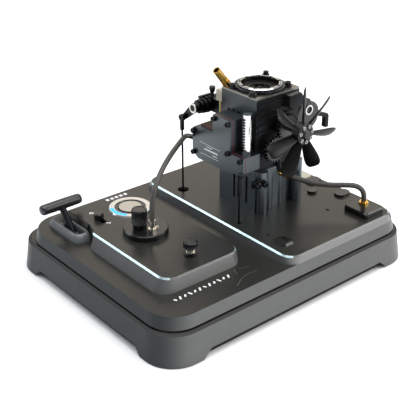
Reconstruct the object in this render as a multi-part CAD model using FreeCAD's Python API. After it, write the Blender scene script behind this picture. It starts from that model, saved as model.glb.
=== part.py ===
import FreeCAD, Part
import math
import os

V = FreeCAD.Vector
os.makedirs("parts", exist_ok=True)

# Driving dimensions, millimetres. The origin is the centre of the base at floor level,
# +X runs towards the engine end, +Y towards the operator's side and +Z up.
BASE_X = 280.0
BASE_Y = 223.3
BASE_CORNER = 28.0
FOOT_Z = 1.8
TRAY_Z0 = 0.8
TRAY_SHOULDER_Z = 26.2
TRAY_Z1 = 27.7
SEAM_Z1 = 29.4
TIER_Z1 = 39.5
ENGINE_DECK_Z = 46.5
CONTROL_DECK_Z = 51.0
WALL = 3.0
EDGE_CUT = 1.3

CONTROL_X = (-108.4, -31.0)
CONTROL_Y = (-70.8, 78.0)
ENGINE_DECK_X = (-7.6, 121.2)
ENGINE_DECK_Y = (-102.5, 91.5)

START_X, START_Y = -57.0, 46.9
START_RING_R = 19.2
START_BUTTON_R = 10.0

SELECTOR_X, SELECTOR_Y = -89.5, 47.5
SELECTOR_TRAVEL = 7.0

FLANGE_X, FLANGE_Y, FLANGE_R = -72.5, 3.0, 19.1
FLANGE_Z1 = CONTROL_DECK_Z + 5.0
FILLER_X, FILLER_Y = -77.5, 4.5
FUEL_FITTING_X, FUEL_FITTING_Y = -75.0, -9.5
PRIMER_X, PRIMER_Y = -67.8, -50.0

LEVER_X, LEVER_Y, LEVER_Z = -110.0, 55.0, 37.3
LEVER_LEAN_DEG = 39.4
LEVER_LENGTH = 30.4
GRIP_LENGTH = 40.0
GRIP_R = 4.7
STEM_R = 3.0
BEZEL_Z1 = 46.5

BLOCK_X = (25.0, 75.0)
BLOCK_Y = (-24.0, 20.0)
STAND_Z1 = 86.0
CRANKCASE_Z1 = 116.0
BLOCK_Z1 = 150.0
HEAD_Z1 = 151.6
AXIS_X, AXIS_Y = 49.5, -1.5
BORE_R = 10.0
PISTON_CROWN_Z = 141.0

COLLAR_IN_R = 16.5
COLLAR_OUT_R = 20.5
COLLAR_Z1 = 155.0

COVER_X = 6.0
COVER_T = 2.6
GASKET_T = 0.8

FAN_X, FAN_Z = 55.0, 122.0
FAN_Y = -49.0
FAN_R = 39.5
BLADES = 7
HUB_R = 9.0
CRANK_Z = 104.0
TIMING_X, TIMING_Z = 40.92, 105.1
GEAR_TEETH = 22
GEAR_MODULE = 1.0
GEAR_Y = (-33.0, -29.0)

MOTOR_X, MOTOR_Z, MOTOR_R = 92.0, 119.5, 13.2
MOTOR_Y = (-20.0, 15.0)

CARB_Y, CARB_Z = 37.5, 130.5
ARM_X = 9.0
ARM_R = 18.1
ARM_DEG = -41.9
LINK_HOLE_X, LINK_HOLE_Y = 7.0, 52.5

RETURN_X, RETURN_Y = 104.5, -80.5
RETURN_TOP = ENGINE_DECK_Z + 8.3
HOSE_R = 2.2
RETURN_HOSE_R = 2.3


def box(x0, x1, y0, y1, z0, z1):
    return Part.makeBox(x1 - x0, y1 - y0, z1 - z0, V(x0, y0, z0))


def rod(r, start, end):
    a = V(*start)
    b = V(*end)
    return Part.makeCylinder(r, (b - a).Length, a, b - a)


def pipe(r_out, r_in, start, end):
    return rod(r_out, start, end).cut(rod(r_in, start, end))


def cone(r0, r1, start, end):
    a = V(*start)
    b = V(*end)
    return Part.makeCone(r0, r1, (b - a).Length, a, b - a)


def fuse(shapes):
    whole = shapes[0]
    for shape in shapes[1:]:
        whole = whole.fuse(shape)
    return whole.removeSplitter()


def cut(shape, tools):
    for tool in tools:
        shape = shape.cut(tool)
    return shape


def outline(x0, x1, y0, y1, z, r):
    """A rounded rectangle in a horizontal plane."""
    k = r * (1 - math.sqrt(0.5))
    pts = [V(x0 + r, y0, z), V(x1 - r, y0, z), V(x1 - k, y0 + k, z), V(x1, y0 + r, z),
           V(x1, y1 - r, z), V(x1 - k, y1 - k, z), V(x1 - r, y1, z), V(x0 + r, y1, z),
           V(x0 + k, y1 - k, z), V(x0, y1 - r, z), V(x0, y0 + r, z), V(x0 + k, y0 + k, z)]
    edges = []
    for n in range(4):
        a, b, mid, c = pts[3 * n], pts[3 * n + 1], pts[3 * n + 2], pts[(3 * n + 3) % 12]
        edges.append(Part.LineSegment(a, b).toShape())
        edges.append(Part.Arc(b, mid, c).toShape())
    return Part.Wire(edges)


def slab(x0, x1, y0, y1, z0, z1, r):
    return Part.Face(outline(x0, x1, y0, y1, z0, r)).extrude(V(0, 0, z1 - z0))


def tapered(low, high, z0, z1, r0, r1):
    """A solid between two rounded rectangles, each given as x0, x1, y0, y1."""
    return Part.makeLoft([outline(*low, z0, r0), outline(*high, z1, r1)], True, True)


def chamfered(low, high, z0, z1, r0, r1):
    """A tapered block whose top edge is cut back at 45 degrees."""
    x0, x1, y0, y1 = high
    shoulder = z1 - EDGE_CUT
    top = (x0 + EDGE_CUT, x1 - EDGE_CUT, y0 + EDGE_CUT, y1 - EDGE_CUT)
    return tapered(low, high, z0, shoulder, r0, r1).fuse(tapered(high, top, shoulder, z1, r1, r1 - EDGE_CUT))


def inset(amount, back=0.0):
    """The base's own rectangle drawn in by one amount, and further on the +Y side."""
    return (-BASE_X / 2 + amount, BASE_X / 2 - amount, -BASE_Y / 2 + amount, BASE_Y / 2 - amount - back)


def prism_yz(points, x0, x1):
    corners = [V(x0, y, z) for y, z in points]
    return Part.Face(Part.makePolygon(corners + corners[:1])).extrude(V(x1 - x0, 0, 0))


def prism_xz(points, y0, y1):
    corners = [V(x, y0, z) for x, z in points]
    return Part.Face(Part.makePolygon(corners + corners[:1])).extrude(V(0, y1 - y0, 0))


def prism_xy(points, z0, z1):
    corners = [V(x, y, z0) for x, y in points]
    return Part.Face(Part.makePolygon(corners + corners[:1])).extrude(V(0, 0, z1 - z0))


def hexagon(across_flats, x, y, z0, z1):
    r = across_flats / math.sqrt(3)
    corners = [V(x + r * math.cos(math.radians(60 * n)), y + r * math.sin(math.radians(60 * n)), z0)
               for n in range(6)]
    return Part.Face(Part.makePolygon(corners + corners[:1])).extrude(V(0, 0, z1 - z0))


def save(name, shape):
    shape.exportStep(f"parts/{name}.step")
    print(name, len(shape.Solids), "solids", round(shape.Volume, 1), "mm3", "" if shape.isValid() else "INVALID")


# Base -------------------------------------------------------------------------

def base_tray():
    body = tapered(inset(0), inset(3.2), TRAY_Z0, TRAY_SHOULDER_Z, BASE_CORNER, BASE_CORNER - 1.5)
    body = body.fuse(tapered(inset(3.2), inset(5.6), TRAY_SHOULDER_Z, TRAY_Z1, BASE_CORNER - 1.5, BASE_CORNER - 2.5))
    hollow = tapered(inset(WALL), inset(WALL + 3.2), TRAY_Z0, TRAY_Z1 - WALL, BASE_CORNER - 3, BASE_CORNER - 4.5)
    mouth = slab(*inset(14), TRAY_Z0, TRAY_Z1, BASE_CORNER - 8)
    notch_x = [(-105, TRAY_Z0), (105, TRAY_Z0), (97, 7.7), (-97, 7.7)]
    notch_y = [(-77, TRAY_Z0), (77, TRAY_Z0), (69, 7.7), (-69, 7.7)]
    reach = WALL + 1.0
    tools = [hollow, mouth]
    for side in (-1, 1):
        y = side * BASE_Y / 2
        x = side * BASE_X / 2
        tools.append(prism_xz(notch_x, min(y, y - side * reach), max(y, y - side * reach)))
        tools.append(prism_yz(notch_y, min(x, x - side * reach), max(x, x - side * reach)))
    return cut(body, tools)


def bottom_plate():
    plate = slab(*inset(4.4), FOOT_Z, 8.6, BASE_CORNER - 4)
    return plate.cut(slab(*inset(7.0), FOOT_Z + 2.4, 8.6, BASE_CORNER - 7))


def rubber_feet():
    pads = [cone(8.0, 9.0, (sx * 116, sy * 88, 0), (sx * 116, sy * 88, FOOT_Z)) for sx in (-1, 1) for sy in (-1, 1)]
    return Part.makeCompound(pads)


def seam_gasket():
    return slab(*inset(8.0, 4.5), TRAY_Z1, SEAM_Z1, 20.0).cut(slab(*inset(14.0, 4.5), TRAY_Z1, SEAM_Z1, 16.0))


def tier_shell():
    body = tapered(inset(6.0, 6.3), inset(8.5, 6.3), SEAM_Z1, TIER_Z1, 25.5, 24.0)
    hollow = tapered(inset(9.0, 6.3), inset(11.0, 6.3), SEAM_Z1, TIER_Z1 - WALL, 22.5, 21.5)
    under_control = box(-100, -37, -64, 72, SEAM_Z1, TIER_Z1)
    under_engine = box(0, 112, -92, 82, SEAM_Z1, TIER_Z1)
    lever_gap = box(-117.5, -99.0, 43.0, 70.0, SEAM_Z1, TIER_Z1)
    return cut(body, [hollow, under_control, under_engine, lever_gap])


# Control deck -----------------------------------------------------------------

def bezel_bay(margin):
    """The corner of the control deck that is left out for the lever's bezel."""
    x0, y1 = CONTROL_X[0] - 8, CONTROL_Y[1] + 4
    plan = [(x0, 24.5 - margin), (-110.0 + margin * 0.4, 26.5 - margin * 0.9), (-104.5 + margin * 0.8, 33.0 - margin * 0.6),
            (-101.5 + margin, 44.0), (-101.5 + margin, y1), (x0, y1)]
    return prism_xy(plan, TIER_Z1, CONTROL_DECK_Z)


def control_deck():
    """A hollow deck that keeps a 2 mm wall along the bay of the bezel."""
    x0, x1 = CONTROL_X
    y0, y1 = CONTROL_Y
    body = chamfered((x0 - 5.6, x1 + 2, y0 - 1.7, y1 + 1.5), (x0, x1, y0, y1), TIER_Z1, CONTROL_DECK_Z, 14.0, 12.0)
    hollow = tapered((x0 - 2.2, x1 - 1, y0 + 1.5, y1 - 1.5), (x0 + 3, x1 - 3, y0 + 3, y1 - 3),
                     TIER_Z1, CONTROL_DECK_Z - WALL, 11.0, 9.0).cut(bezel_bay(2.0))
    z0, z1 = TIER_Z1, CONTROL_DECK_Z
    tools = [
        hollow,
        bezel_bay(0.0),
        rod(START_RING_R - 1.2, (START_X, START_Y, z0), (START_X, START_Y, z1)),
        rod(13.0, (FLANGE_X, FLANGE_Y, z0), (FLANGE_X, FLANGE_Y, z1)),
        rod(4.6, (PRIMER_X, PRIMER_Y, z0), (PRIMER_X, PRIMER_Y, z1)),
        box(SELECTOR_X - 2.6, SELECTOR_X + 2.6, SELECTOR_Y - SELECTOR_TRAVEL - 3.0, SELECTOR_Y + 3.0, z0, z1),
    ]
    return cut(body, tools)


def lever_slot():
    half = 12.5
    return box(LEVER_X - 4.0, LEVER_X + 4.0, LEVER_Y - half, LEVER_Y + half, TIER_Z1 - 1, CONTROL_DECK_Z + 1)


def lever_bezel():
    boss = tapered((-119.5, -101.6, 44.2, 86.0), (-118.0, -101.7, 45.7, 84.5), TIER_Z1, BEZEL_Z1, 7.5, 6.5)
    ramp = prism_xz([(-110, TIER_Z1), (-101.6, TIER_Z1), (-101.6, CONTROL_DECK_Z), (-102.1, CONTROL_DECK_Z),
                     (-105.8, BEZEL_Z1), (-110, BEZEL_Z1)], 44.2, CONTROL_Y[1] - 0.4)
    dish = tapered((-115.6, -104.6, 49.5, 80.5), (-116.6, -103.8, 47.3, 82.5), BEZEL_Z1 - 1.6, BEZEL_Z1, 4.5, 5.0)
    return cut(fuse([boss, ramp]), [dish, lever_slot()])


def lever_direction():
    lean = math.radians(LEVER_LEAN_DEG)
    return V(0, math.sin(lean), math.cos(lean))


def throttle_lever():
    pivot = V(LEVER_X, LEVER_Y, LEVER_Z)
    d = lever_direction()
    top = pivot + d * (LEVER_LENGTH - 0.2)
    boss = rod(4.6, (LEVER_X - 3.2, LEVER_Y, LEVER_Z), (LEVER_X + 3.2, LEVER_Y, LEVER_Z))
    stem = Part.makeCylinder(STEM_R, LEVER_LENGTH, pivot, d)
    grip_bore = rod(GRIP_R - 0.9, (LEVER_X - 4, top.y, top.z), (LEVER_X + 4, top.y, top.z))
    pin_bore = rod(1.55, (LEVER_X - 4, LEVER_Y, LEVER_Z), (LEVER_X + 4, LEVER_Y, LEVER_Z))
    return cut(fuse([boss, stem]), [grip_bore, pin_bore])


def throttle_grip():
    centre = V(LEVER_X, LEVER_Y, LEVER_Z) + lever_direction() * LEVER_LENGTH
    half = GRIP_LENGTH / 2
    round_end = 2.0
    bar = rod(GRIP_R, (LEVER_X - half + round_end, centre.y, centre.z), (LEVER_X + half - round_end, centre.y, centre.z))
    ends = [cone(GRIP_R, GRIP_R - 1.4, (LEVER_X + s * (half - round_end), centre.y, centre.z),
                 (LEVER_X + s * half, centre.y, centre.z)) for s in (-1, 1)]
    socket = Part.makeCylinder(STEM_R + 0.06, LEVER_LENGTH - 2.0, V(LEVER_X, LEVER_Y, LEVER_Z), lever_direction())
    return fuse([bar] + ends).cut(socket)


def lever_pivot():
    """The bracket under the tier and the pin through it, two separate solids."""
    legs = [box(LEVER_X + s * 5.6 - 1.2, LEVER_X + s * 5.6 + 1.2, LEVER_Y - 6, LEVER_Y + 6, 30.0, LEVER_Z + 2.0)
            for s in (-1, 1)]
    floor = box(LEVER_X - 6.8, LEVER_X + 6.8, LEVER_Y - 6, LEVER_Y + 6, 28.6, 30.6)
    hole = rod(1.5, (LEVER_X - 8, LEVER_Y, LEVER_Z), (LEVER_X + 8, LEVER_Y, LEVER_Z))
    pin = rod(1.5, (LEVER_X - 7.2, LEVER_Y, LEVER_Z), (LEVER_X + 7.2, LEVER_Y, LEVER_Z))
    return Part.makeCompound([fuse(legs + [floor]).cut(hole), pin])


def start_bezel():
    z = CONTROL_DECK_Z
    centre = (START_X, START_Y)
    lip = cone(START_RING_R, START_RING_R - 0.8, (*centre, z), (*centre, z + 1.0))
    sleeve = rod(START_RING_R - 1.3, (*centre, z - 9.4), (*centre, z))
    floor = rod(START_RING_R - 1.3, (*centre, z - 11), (*centre, z - 9.4))
    tools = [rod(13.8, (*centre, z - 9.4), (*centre, z + 1.0)), rod(3.1, (*centre, z - 11), (*centre, z - 9.4))]
    return cut(fuse([lip, sleeve, floor]), tools)


def start_light_ring():
    z = CONTROL_DECK_Z
    return pipe(13.7, 10.9, (START_X, START_Y, z - 3.0), (START_X, START_Y, z + 0.5))


def start_button():
    z = CONTROL_DECK_Z
    cap = rod(START_BUTTON_R, (START_X, START_Y, z - 1.5), (START_X, START_Y, z + 1.2))
    stem = rod(3.0, (START_X, START_Y, z - 6.0), (START_X, START_Y, z - 1.5))
    return fuse([cap, stem])


def helix_spring(r, wire_r, turns, x, y, z0, z1):
    """A compression spring, simplified to a stack of separate rings."""
    step = (z1 - z0 - 2 * wire_r) / turns
    rings = [Part.makeTorus(r, wire_r, V(x, y, z0 + wire_r + n * step), V(0, 0, 1)) for n in range(turns + 1)]
    return Part.makeCompound(rings)


def start_spring():
    return helix_spring(5.0, 0.4, 4, START_X, START_Y, CONTROL_DECK_Z - 9.3, CONTROL_DECK_Z - 1.6)


def selector_knob():
    z = CONTROL_DECK_Z
    centre = (SELECTOR_X, SELECTOR_Y)
    cap = rod(4.2, (*centre, z + 0.4), (*centre, z + 4.6))
    top = cone(4.2, 3.4, (*centre, z + 4.6), (*centre, z + 5.4))
    stem = rod(1.8, (*centre, z - 5.0), (*centre, z + 0.4))
    return fuse([cap, top, stem])


# Fuel side --------------------------------------------------------------------

def fuel_tank():
    body = slab(-92, -53, -18, 24, 12.0, 46.5, 6.0)
    hollow = slab(-90, -55, -16, 22, 14.0, 44.5, 4.0)
    return body.cut(hollow).cut(rod(10.0, (FLANGE_X, FLANGE_Y, 44.5), (FLANGE_X, FLANGE_Y, 46.5)))


def tank_flange():
    centre = (FLANGE_X, FLANGE_Y)
    disc = rod(FLANGE_R, (*centre, CONTROL_DECK_Z), (*centre, FLANGE_Z1 - 0.8))
    edge = cone(FLANGE_R, FLANGE_R - 0.8, (*centre, FLANGE_Z1 - 0.8), (*centre, FLANGE_Z1))
    spigot = rod(12.8, (*centre, 46.5), (*centre, CONTROL_DECK_Z))
    filler = rod(3.4, (FILLER_X, FILLER_Y, 46), (FILLER_X, FILLER_Y, FLANGE_Z1))
    return fuse([disc, edge, spigot]).cut(filler)


def filler_neck():
    centre = (FILLER_X, FILLER_Y)
    nut = hexagon(11.0, *centre, FLANGE_Z1, FLANGE_Z1 + 3.6)
    neck = rod(4.6, (*centre, FLANGE_Z1 + 3.6), (*centre, FLANGE_Z1 + 12.0))
    return fuse([nut, neck]).cut(rod(3.4, (*centre, FLANGE_Z1), (*centre, FLANGE_Z1 + 12.0)))


def filler_cap():
    x, y = FILLER_X, FILLER_Y
    z0 = FLANGE_Z1 + 4.0
    z1 = z0 + 13.2
    body = fuse([rod(6.5, (x, y, z0), (x, y, z1 - 0.7)), cone(6.5, 5.8, (x, y, z1 - 0.7), (x, y, z1))])
    return body.cut(rod(4.7, (x, y, z0), (x, y, z1 - 2.5)))


def fuel_fitting():
    x, y, z = FUEL_FITTING_X, FUEL_FITTING_Y, FLANGE_Z1
    nut = hexagon(6.4, x, y, z, z + 4.2)
    neck = rod(1.9, (x, y, z + 4.2), (x, y, z + 7.0))
    collar = rod(2.9, (x, y, z + 7.0), (x, y, z + 11.5))
    barb = fuse([nut, neck, collar]).cut(rod(0.9, (x, y, z), (x, y, z + 11.5)))
    return Part.makeCompound([barb, vent_screw()])


def vent_screw():
    x, y, z = -67.0, -5.5, FLANGE_Z1
    return cone(1.7, 1.2, (x, y, z), (x, y, z + 1.6)).cut(box(x - 0.25, x + 0.25, y - 1.8, y + 1.8, z + 1.1, z + 1.7))


def primer_cap():
    x, y, z = PRIMER_X, PRIMER_Y, CONTROL_DECK_Z
    cap = fuse([rod(5.9, (x, y, z + 6.4), (x, y, z + 11.4)), cone(5.9, 5.3, (x, y, z + 11.4), (x, y, z + 12.0))])
    stem = rod(2.2, (x, y, z - 6.0), (x, y, z + 6.4))
    return fuse([cap, stem])


def primer_spring():
    return helix_spring(3.6, 0.45, 5, PRIMER_X, PRIMER_Y, CONTROL_DECK_Z + 1.2, CONTROL_DECK_Z + 6.3)


def primer_guide():
    x, y, z = PRIMER_X, PRIMER_Y, CONTROL_DECK_Z
    flange = rod(5.6, (x, y, z), (x, y, z + 1.1))
    body = rod(4.5, (x, y, z - 8.0), (x, y, z))
    return fuse([flange, body]).cut(rod(2.25, (x, y, z - 8.0), (x, y, z + 1.1)))


# Engine deck ------------------------------------------------------------------

DRAIN_X, DRAIN_Y = 2.4, -29.4


def engine_deck():
    x0, x1 = ENGINE_DECK_X
    y0, y1 = ENGINE_DECK_Y
    z0, z1 = TIER_Z1, ENGINE_DECK_Z
    body = chamfered((x0 - 1.6, x1 + 1.6, y0 - 1.1, y1 + 1.6), (x0, x1, y0, y1), z0, z1, 13.0, 12.0)
    hollow = slab(x0 + 4, x1 - 4, y0 + 4, y1 - 4, z0, z1 - WALL, 9.0)
    tools = [hollow, rod(5.4, (LINK_HOLE_X, LINK_HOLE_Y, z0), (LINK_HOLE_X, LINK_HOLE_Y, z1)),
             rod(2.6, (DRAIN_X, DRAIN_Y, z0), (DRAIN_X, DRAIN_Y, z1))]
    for x, y in [(6.6, -61.3), (78.5, -61.7)]:
        tools.append(rod(1.8, (x, y, z0), (x, y, z1)))
    return cut(body, tools)


def port_plate():
    """A raised frame round a small window, standing on the engine deck."""
    plate = tapered((1.5, 15.5, -85.5, -70.5), (2.7, 14.3, -84.3, -71.7), ENGINE_DECK_Z, ENGINE_DECK_Z + 2.0, 3.5, 3.0)
    return plate.cut(slab(5.2, 11.8, -81.8, -74.2, ENGINE_DECK_Z + 1.0, ENGINE_DECK_Z + 2.0, 1.5))


def terminal_plate():
    plate = slab(102.5, 117.5, -5.5, 15.5, ENGINE_DECK_Z, ENGINE_DECK_Z + 1.5, 2.5)
    return plate.cut(rod(2.2, (110, 4.5, ENGINE_DECK_Z), (110, 4.5, ENGINE_DECK_Z + 1.5)))


def deck_pads():
    z0 = ENGINE_DECK_Z
    z1 = z0 + 2.2
    oval = slab(104, 119, -54.5, -43.5, z0, z1, 5.0)
    small = rod(4.4, (93.8, -28.2, z0), (93.8, -28.2, z1))
    block = slab(104, 118, -18.5, -8.5, z0, z1, 3.0)
    return Part.makeCompound([oval, small, block, port_plate()])


def return_block():
    low = (89.5, 114.5, -96.5, -70.0)
    high = (90.5, 113.5, -95.5, -71.0)
    z0 = ENGINE_DECK_Z
    body = fuse([slab(*low, z0, z0 + 4.0, 3.5), tapered(low, high, z0 + 4.0, z0 + 5.0, 3.5, 3.0)])
    return body.cut(rod(1.2, (109, -76, z0 + 2), (109, -76, z0 + 5)))


def return_fitting():
    x, y, z = RETURN_X, RETURN_Y, ENGINE_DECK_Z + 5.0
    nut = hexagon(7.6, x, y, z, z + 1.8)
    body = rod(2.4, (x, y, z + 1.8), (x, y, z + 3.0))
    collar = rod(3.0, (x, y, z + 3.0), (x, y, RETURN_TOP))
    return fuse([nut, body, collar]).cut(rod(1.0, (x, y, z), (x, y, RETURN_TOP)))


def starter_battery():
    cells = [rod(9.0, (20 + 20 * n, -60, 20.0), (20 + 20 * n, 6, 20.0)) for n in range(3)]
    return Part.makeCompound(cells)


# Engine -----------------------------------------------------------------------

STAND_X = (25.0, 79.0)
STAND_Y = (-33.0, 23.0)


def engine_stand():
    x0, x1 = STAND_X
    y0, y1 = STAND_Y
    z0, z1 = ENGINE_DECK_Z, STAND_Z1
    top = slab(x0, x1, -27.0, y1, z1 - 6, z1, 3.0)
    left = box(x0, x0 + 5, y0 + 8, y1 - 1, z0, z1 - 6)
    slots = [box(x0 - 1, x0 + 2.5, y, y + 2.4, z0 + 6, z1 - 8) for y in (-15, 1)]
    slots.append(box(47.5, 56.5, -28, -24, z1 - 6, z1))
    back = box(x0 + 5, x1 - 2, y1 - 6, y1 - 1, z0, z1 - 6)
    front = box(38, x1 - 2, -24, -19, z0, z1 - 6)
    pillars = []
    for x, y in [(31, -27), (42, -22), (57, -20), (73, -27), (72, 16)]:
        pillars.append(rod(5.0, (x, y, z0), (x, y, z1 - 6)))
    pads = [rod(5.0, (x, -27, z1 - 6), (x, -27, z1)) for x in (31, 73)]
    return cut(fuse([top, left, back, front] + pillars + pads), slots)


def crankcase():
    x0, x1 = BLOCK_X
    y0, y1 = BLOCK_Y
    body = fuse([box(x0, x1, y0, y1, STAND_Z1, CRANKCASE_Z1), box(x0 + 6, x1 - 4, y1, y1 + 4, 92, 112)])
    chamber = rod(14.5, (AXIS_X, -18, CRANK_Z), (AXIS_X, 14, CRANK_Z))
    throat = rod(BORE_R + 1.6, (AXIS_X, AXIS_Y, 104), (AXIS_X, AXIS_Y, CRANKCASE_Z1))
    shaft_bore = rod(3.05, (TIMING_X, y0, TIMING_Z), (TIMING_X, -18, TIMING_Z))
    return cut(body, [chamber, throat, shaft_bore])


def cylinder_block():
    x0, x1 = BLOCK_X
    y0, y1 = BLOCK_Y
    z0, z1 = CRANKCASE_Z1, BLOCK_Z1
    body = box(x0, x1, y0, y1, z0, z1)
    fins = [box(x0 + 1.6, x1 - 6, y0 - 1.2, y0, z0 + 3 + 6 * n, z0 + 5 + 6 * n) for n in range(5)]
    ports = [box(x0 - 0.2, x0 + 1.2, y, y + 3.4, 131.5, 134.5) for y in (8.5, 2.5, -3.5)]
    ports.append(box(x0 - 0.2, x0 + 0.8, -6.5, 13.5, 130.0, 131.2))
    sleeve = rod(BORE_R + 1.6, (AXIS_X, AXIS_Y, z0), (AXIS_X, AXIS_Y, z1))
    fan_boss = rod(7.4, (FAN_X, y0 - 4.4, FAN_Z), (FAN_X, y0, FAN_Z))
    fan_bore = rod(3.05, (FAN_X, y0 - 4.4, FAN_Z), (FAN_X, y0 + 6.2, FAN_Z))
    return cut(fuse([body, fan_boss, belt_cover()] + fins), ports + [sleeve, fan_bore])


def cylinder_liner():
    return pipe(BORE_R + 1.5, BORE_R, (AXIS_X, AXIS_Y, 107.0), (AXIS_X, AXIS_Y, BLOCK_Z1))


def piston():
    z1 = PISTON_CROWN_Z
    centre = (AXIS_X, AXIS_Y)
    body = rod(BORE_R - 0.04, (*centre, z1 - 14), (*centre, z1))
    hollow = rod(BORE_R - 2.0, (*centre, z1 - 14), (*centre, z1 - 2.5))
    rings = [pipe(BORE_R + 1, BORE_R - 0.5, (*centre, z1 - 3 - 2 * n), (*centre, z1 - 2.3 - 2 * n)) for n in range(2)]
    wrist = rod(2.0, (AXIS_X, AXIS_Y - 12, z1 - 8), (AXIS_X, AXIS_Y + 12, z1 - 8))
    return cut(body, [hollow, wrist] + rings)


CRANK_PIN_Z = CRANK_Z + 7.0


def connecting_rod():
    """The rod with the crank webs and pin that carry it, shown at top dead centre."""
    z_small = PISTON_CROWN_Z - 8
    small = rod(3.4, (AXIS_X, AXIS_Y - 2.2, z_small), (AXIS_X, AXIS_Y + 2.2, z_small))
    big = rod(4.6, (AXIS_X, AXIS_Y - 2.2, CRANK_PIN_Z), (AXIS_X, AXIS_Y + 2.2, CRANK_PIN_Z))
    shank = box(AXIS_X - 1.8, AXIS_X + 1.8, AXIS_Y - 1.3, AXIS_Y + 1.3, CRANK_PIN_Z + 3, z_small - 2.5)
    holes = [rod(2.02, (AXIS_X, AXIS_Y - 5, z_small), (AXIS_X, AXIS_Y + 5, z_small)),
             rod(2.52, (AXIS_X, AXIS_Y - 5, CRANK_PIN_Z), (AXIS_X, AXIS_Y + 5, CRANK_PIN_Z))]
    return Part.makeCompound([cut(fuse([small, big, shank]), holes), crank_web()])


def crank_web():
    webs = []
    for y0, y1 in [(-7.5, -4.4), (1.4, 4.5)]:
        webs.append(box(AXIS_X - 4.5, AXIS_X + 4.5, y0, y1, CRANK_Z - 11, CRANK_PIN_Z + 4.0))
    pin = rod(2.5, (AXIS_X, -7.5, CRANK_PIN_Z), (AXIS_X, 4.5, CRANK_PIN_Z))
    journal = rod(3.0, (AXIS_X, 4.5, CRANK_Z), (AXIS_X, 14.0, CRANK_Z))
    return fuse(webs + [pin, journal])


def toothed_wheel(x, z, y0, y1, bore_r, lightening):
    """A spur gear with straight-sided teeth, narrow enough at the pitch line to run with backlash."""
    pitch_r = GEAR_MODULE * GEAR_TEETH / 2
    root_r = pitch_r - 1.15 * GEAR_MODULE
    tip_r = pitch_r + 0.85 * GEAR_MODULE
    step = 360.0 / GEAR_TEETH
    offset = math.degrees(math.atan2(FAN_Z - TIMING_Z, FAN_X - TIMING_X))
    if z == FAN_Z:
        offset += 180 + step / 2
    wheel = rod(root_r, (x, y0, z), (x, y1, z))
    teeth = []
    for n in range(GEAR_TEETH):
        a = math.radians(offset + n * step)
        points = []
        for r, half in [(root_r - 0.4, 0.78), (tip_r, 0.36), (tip_r, -0.36), (root_r - 0.4, -0.78)]:
            points.append((x + r * math.cos(a) - half * math.sin(a), z + r * math.sin(a) + half * math.cos(a)))
        teeth.append(prism_xz(points, y0, y1))
    wheel = fuse([wheel] + teeth)
    holes = [rod(bore_r, (x, y0, z), (x, y1, z))]
    for n in range(lightening):
        a = math.radians(offset + 36 + n * 360 / lightening)
        hx, hz = x + 6.6 * math.cos(a), z + 6.6 * math.sin(a)
        holes.append(rod(1.8, (hx, y0, hz), (hx, y1, hz)))
    return cut(wheel, holes)


def timing_gear():
    """The toothed wheel and the shaft that it is clamped on, two solids."""
    return Part.makeCompound([toothed_wheel(TIMING_X, TIMING_Z, *GEAR_Y, 3.0, 5), timing_shaft()])


def timing_shaft():
    shaft = rod(3.0, (TIMING_X, -35.0, TIMING_Z), (TIMING_X, -18.5, TIMING_Z))
    nut = rod(4.2, (TIMING_X, -36.0, TIMING_Z), (TIMING_X, -33.0, TIMING_Z))
    return fuse([shaft, nut])


def fan_gear():
    """The driven wheel and the fan's shaft, two solids."""
    shaft = rod(3.0, (FAN_X, -52.5, FAN_Z), (FAN_X, -18.5, FAN_Z))
    return Part.makeCompound([toothed_wheel(FAN_X, FAN_Z, *GEAR_Y, 3.0, 0), shaft])


def fan_hub():
    disc = rod(HUB_R, (FAN_X, -53.0, FAN_Z), (FAN_X, -45.0, FAN_Z))
    nose = cone(3.6, 5.2, (FAN_X, -56.0, FAN_Z), (FAN_X, -53.0, FAN_Z))
    bore = rod(3.0, (FAN_X, -52.5, FAN_Z), (FAN_X, -45.0, FAN_Z))
    return Part.makeCompound([fuse([disc, nose]).cut(bore), fan_screws()])


def blade_angle(n):
    return 90.0 + 360.0 / BLADES * n


def fan_blades():
    """Seven twisted blades, each a ruled solid from its root at the hub to its tip."""
    hub = rod(HUB_R, (FAN_X, -56.0, FAN_Z), (FAN_X, -42.0, FAN_Z))
    blades = []
    for n in range(BLADES):
        a = math.radians(blade_angle(n))
        radial = V(math.cos(a), 0, math.sin(a))
        around = V(-math.sin(a), 0, math.cos(a))
        wires = []
        for r, chord, pitch in [(8.2, 7.4, 52.0), (24.0, 14.0, 46.0), (FAN_R - 3.0, 16.5, 42.0), (FAN_R, 12.0, 41.0)]:
            p = math.radians(pitch)
            along = around * math.cos(p) - V(0, math.sin(p), 0)
            normal = radial.cross(along)
            c = V(FAN_X, FAN_Y, FAN_Z) + radial * r
            corners = [c + along * (s * chord / 2) + normal * (t * 0.7) for s, t in [(-1, -1), (1, -1), (1, 1), (-1, 1)]]
            wires.append(Part.makePolygon(corners + corners[:1]))
        blades.append(Part.makeLoft(wires, True, True).cut(hub))
    return Part.makeCompound(blades)


def fan_screws():
    screws = []
    for n in range(BLADES):
        a = math.radians(blade_angle(n) + 180.0 / BLADES)
        x, z = FAN_X + 6.9 * math.cos(a), FAN_Z + 6.9 * math.sin(a)
        screws.append(rod(1.55, (x, -54.4, z), (x, -53.0, z)).cut(rod(0.8, (x, -54.4, z), (x, -53.6, z))))
    return Part.makeCompound(screws)


def along_motor(r, x, z, y0, y1):
    return rod(r, (x, y0, z), (x, y1, z))


def starter_motor():
    """The can with its terminal on top, one solid."""
    can = along_motor(MOTOR_R, MOTOR_X, MOTOR_Z, *MOTOR_Y)
    terminal = along_motor(3.1, 89.3, 133.4, MOTOR_Y[0] - 1.8, MOTOR_Y[0] + 12)
    return fuse([can, terminal])


def starter_end_ring():
    return pipe(4.6, 3.3, (92.0, MOTOR_Y[0] - 1.2, 125.0), (92.0, MOTOR_Y[0], 125.0))


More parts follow.
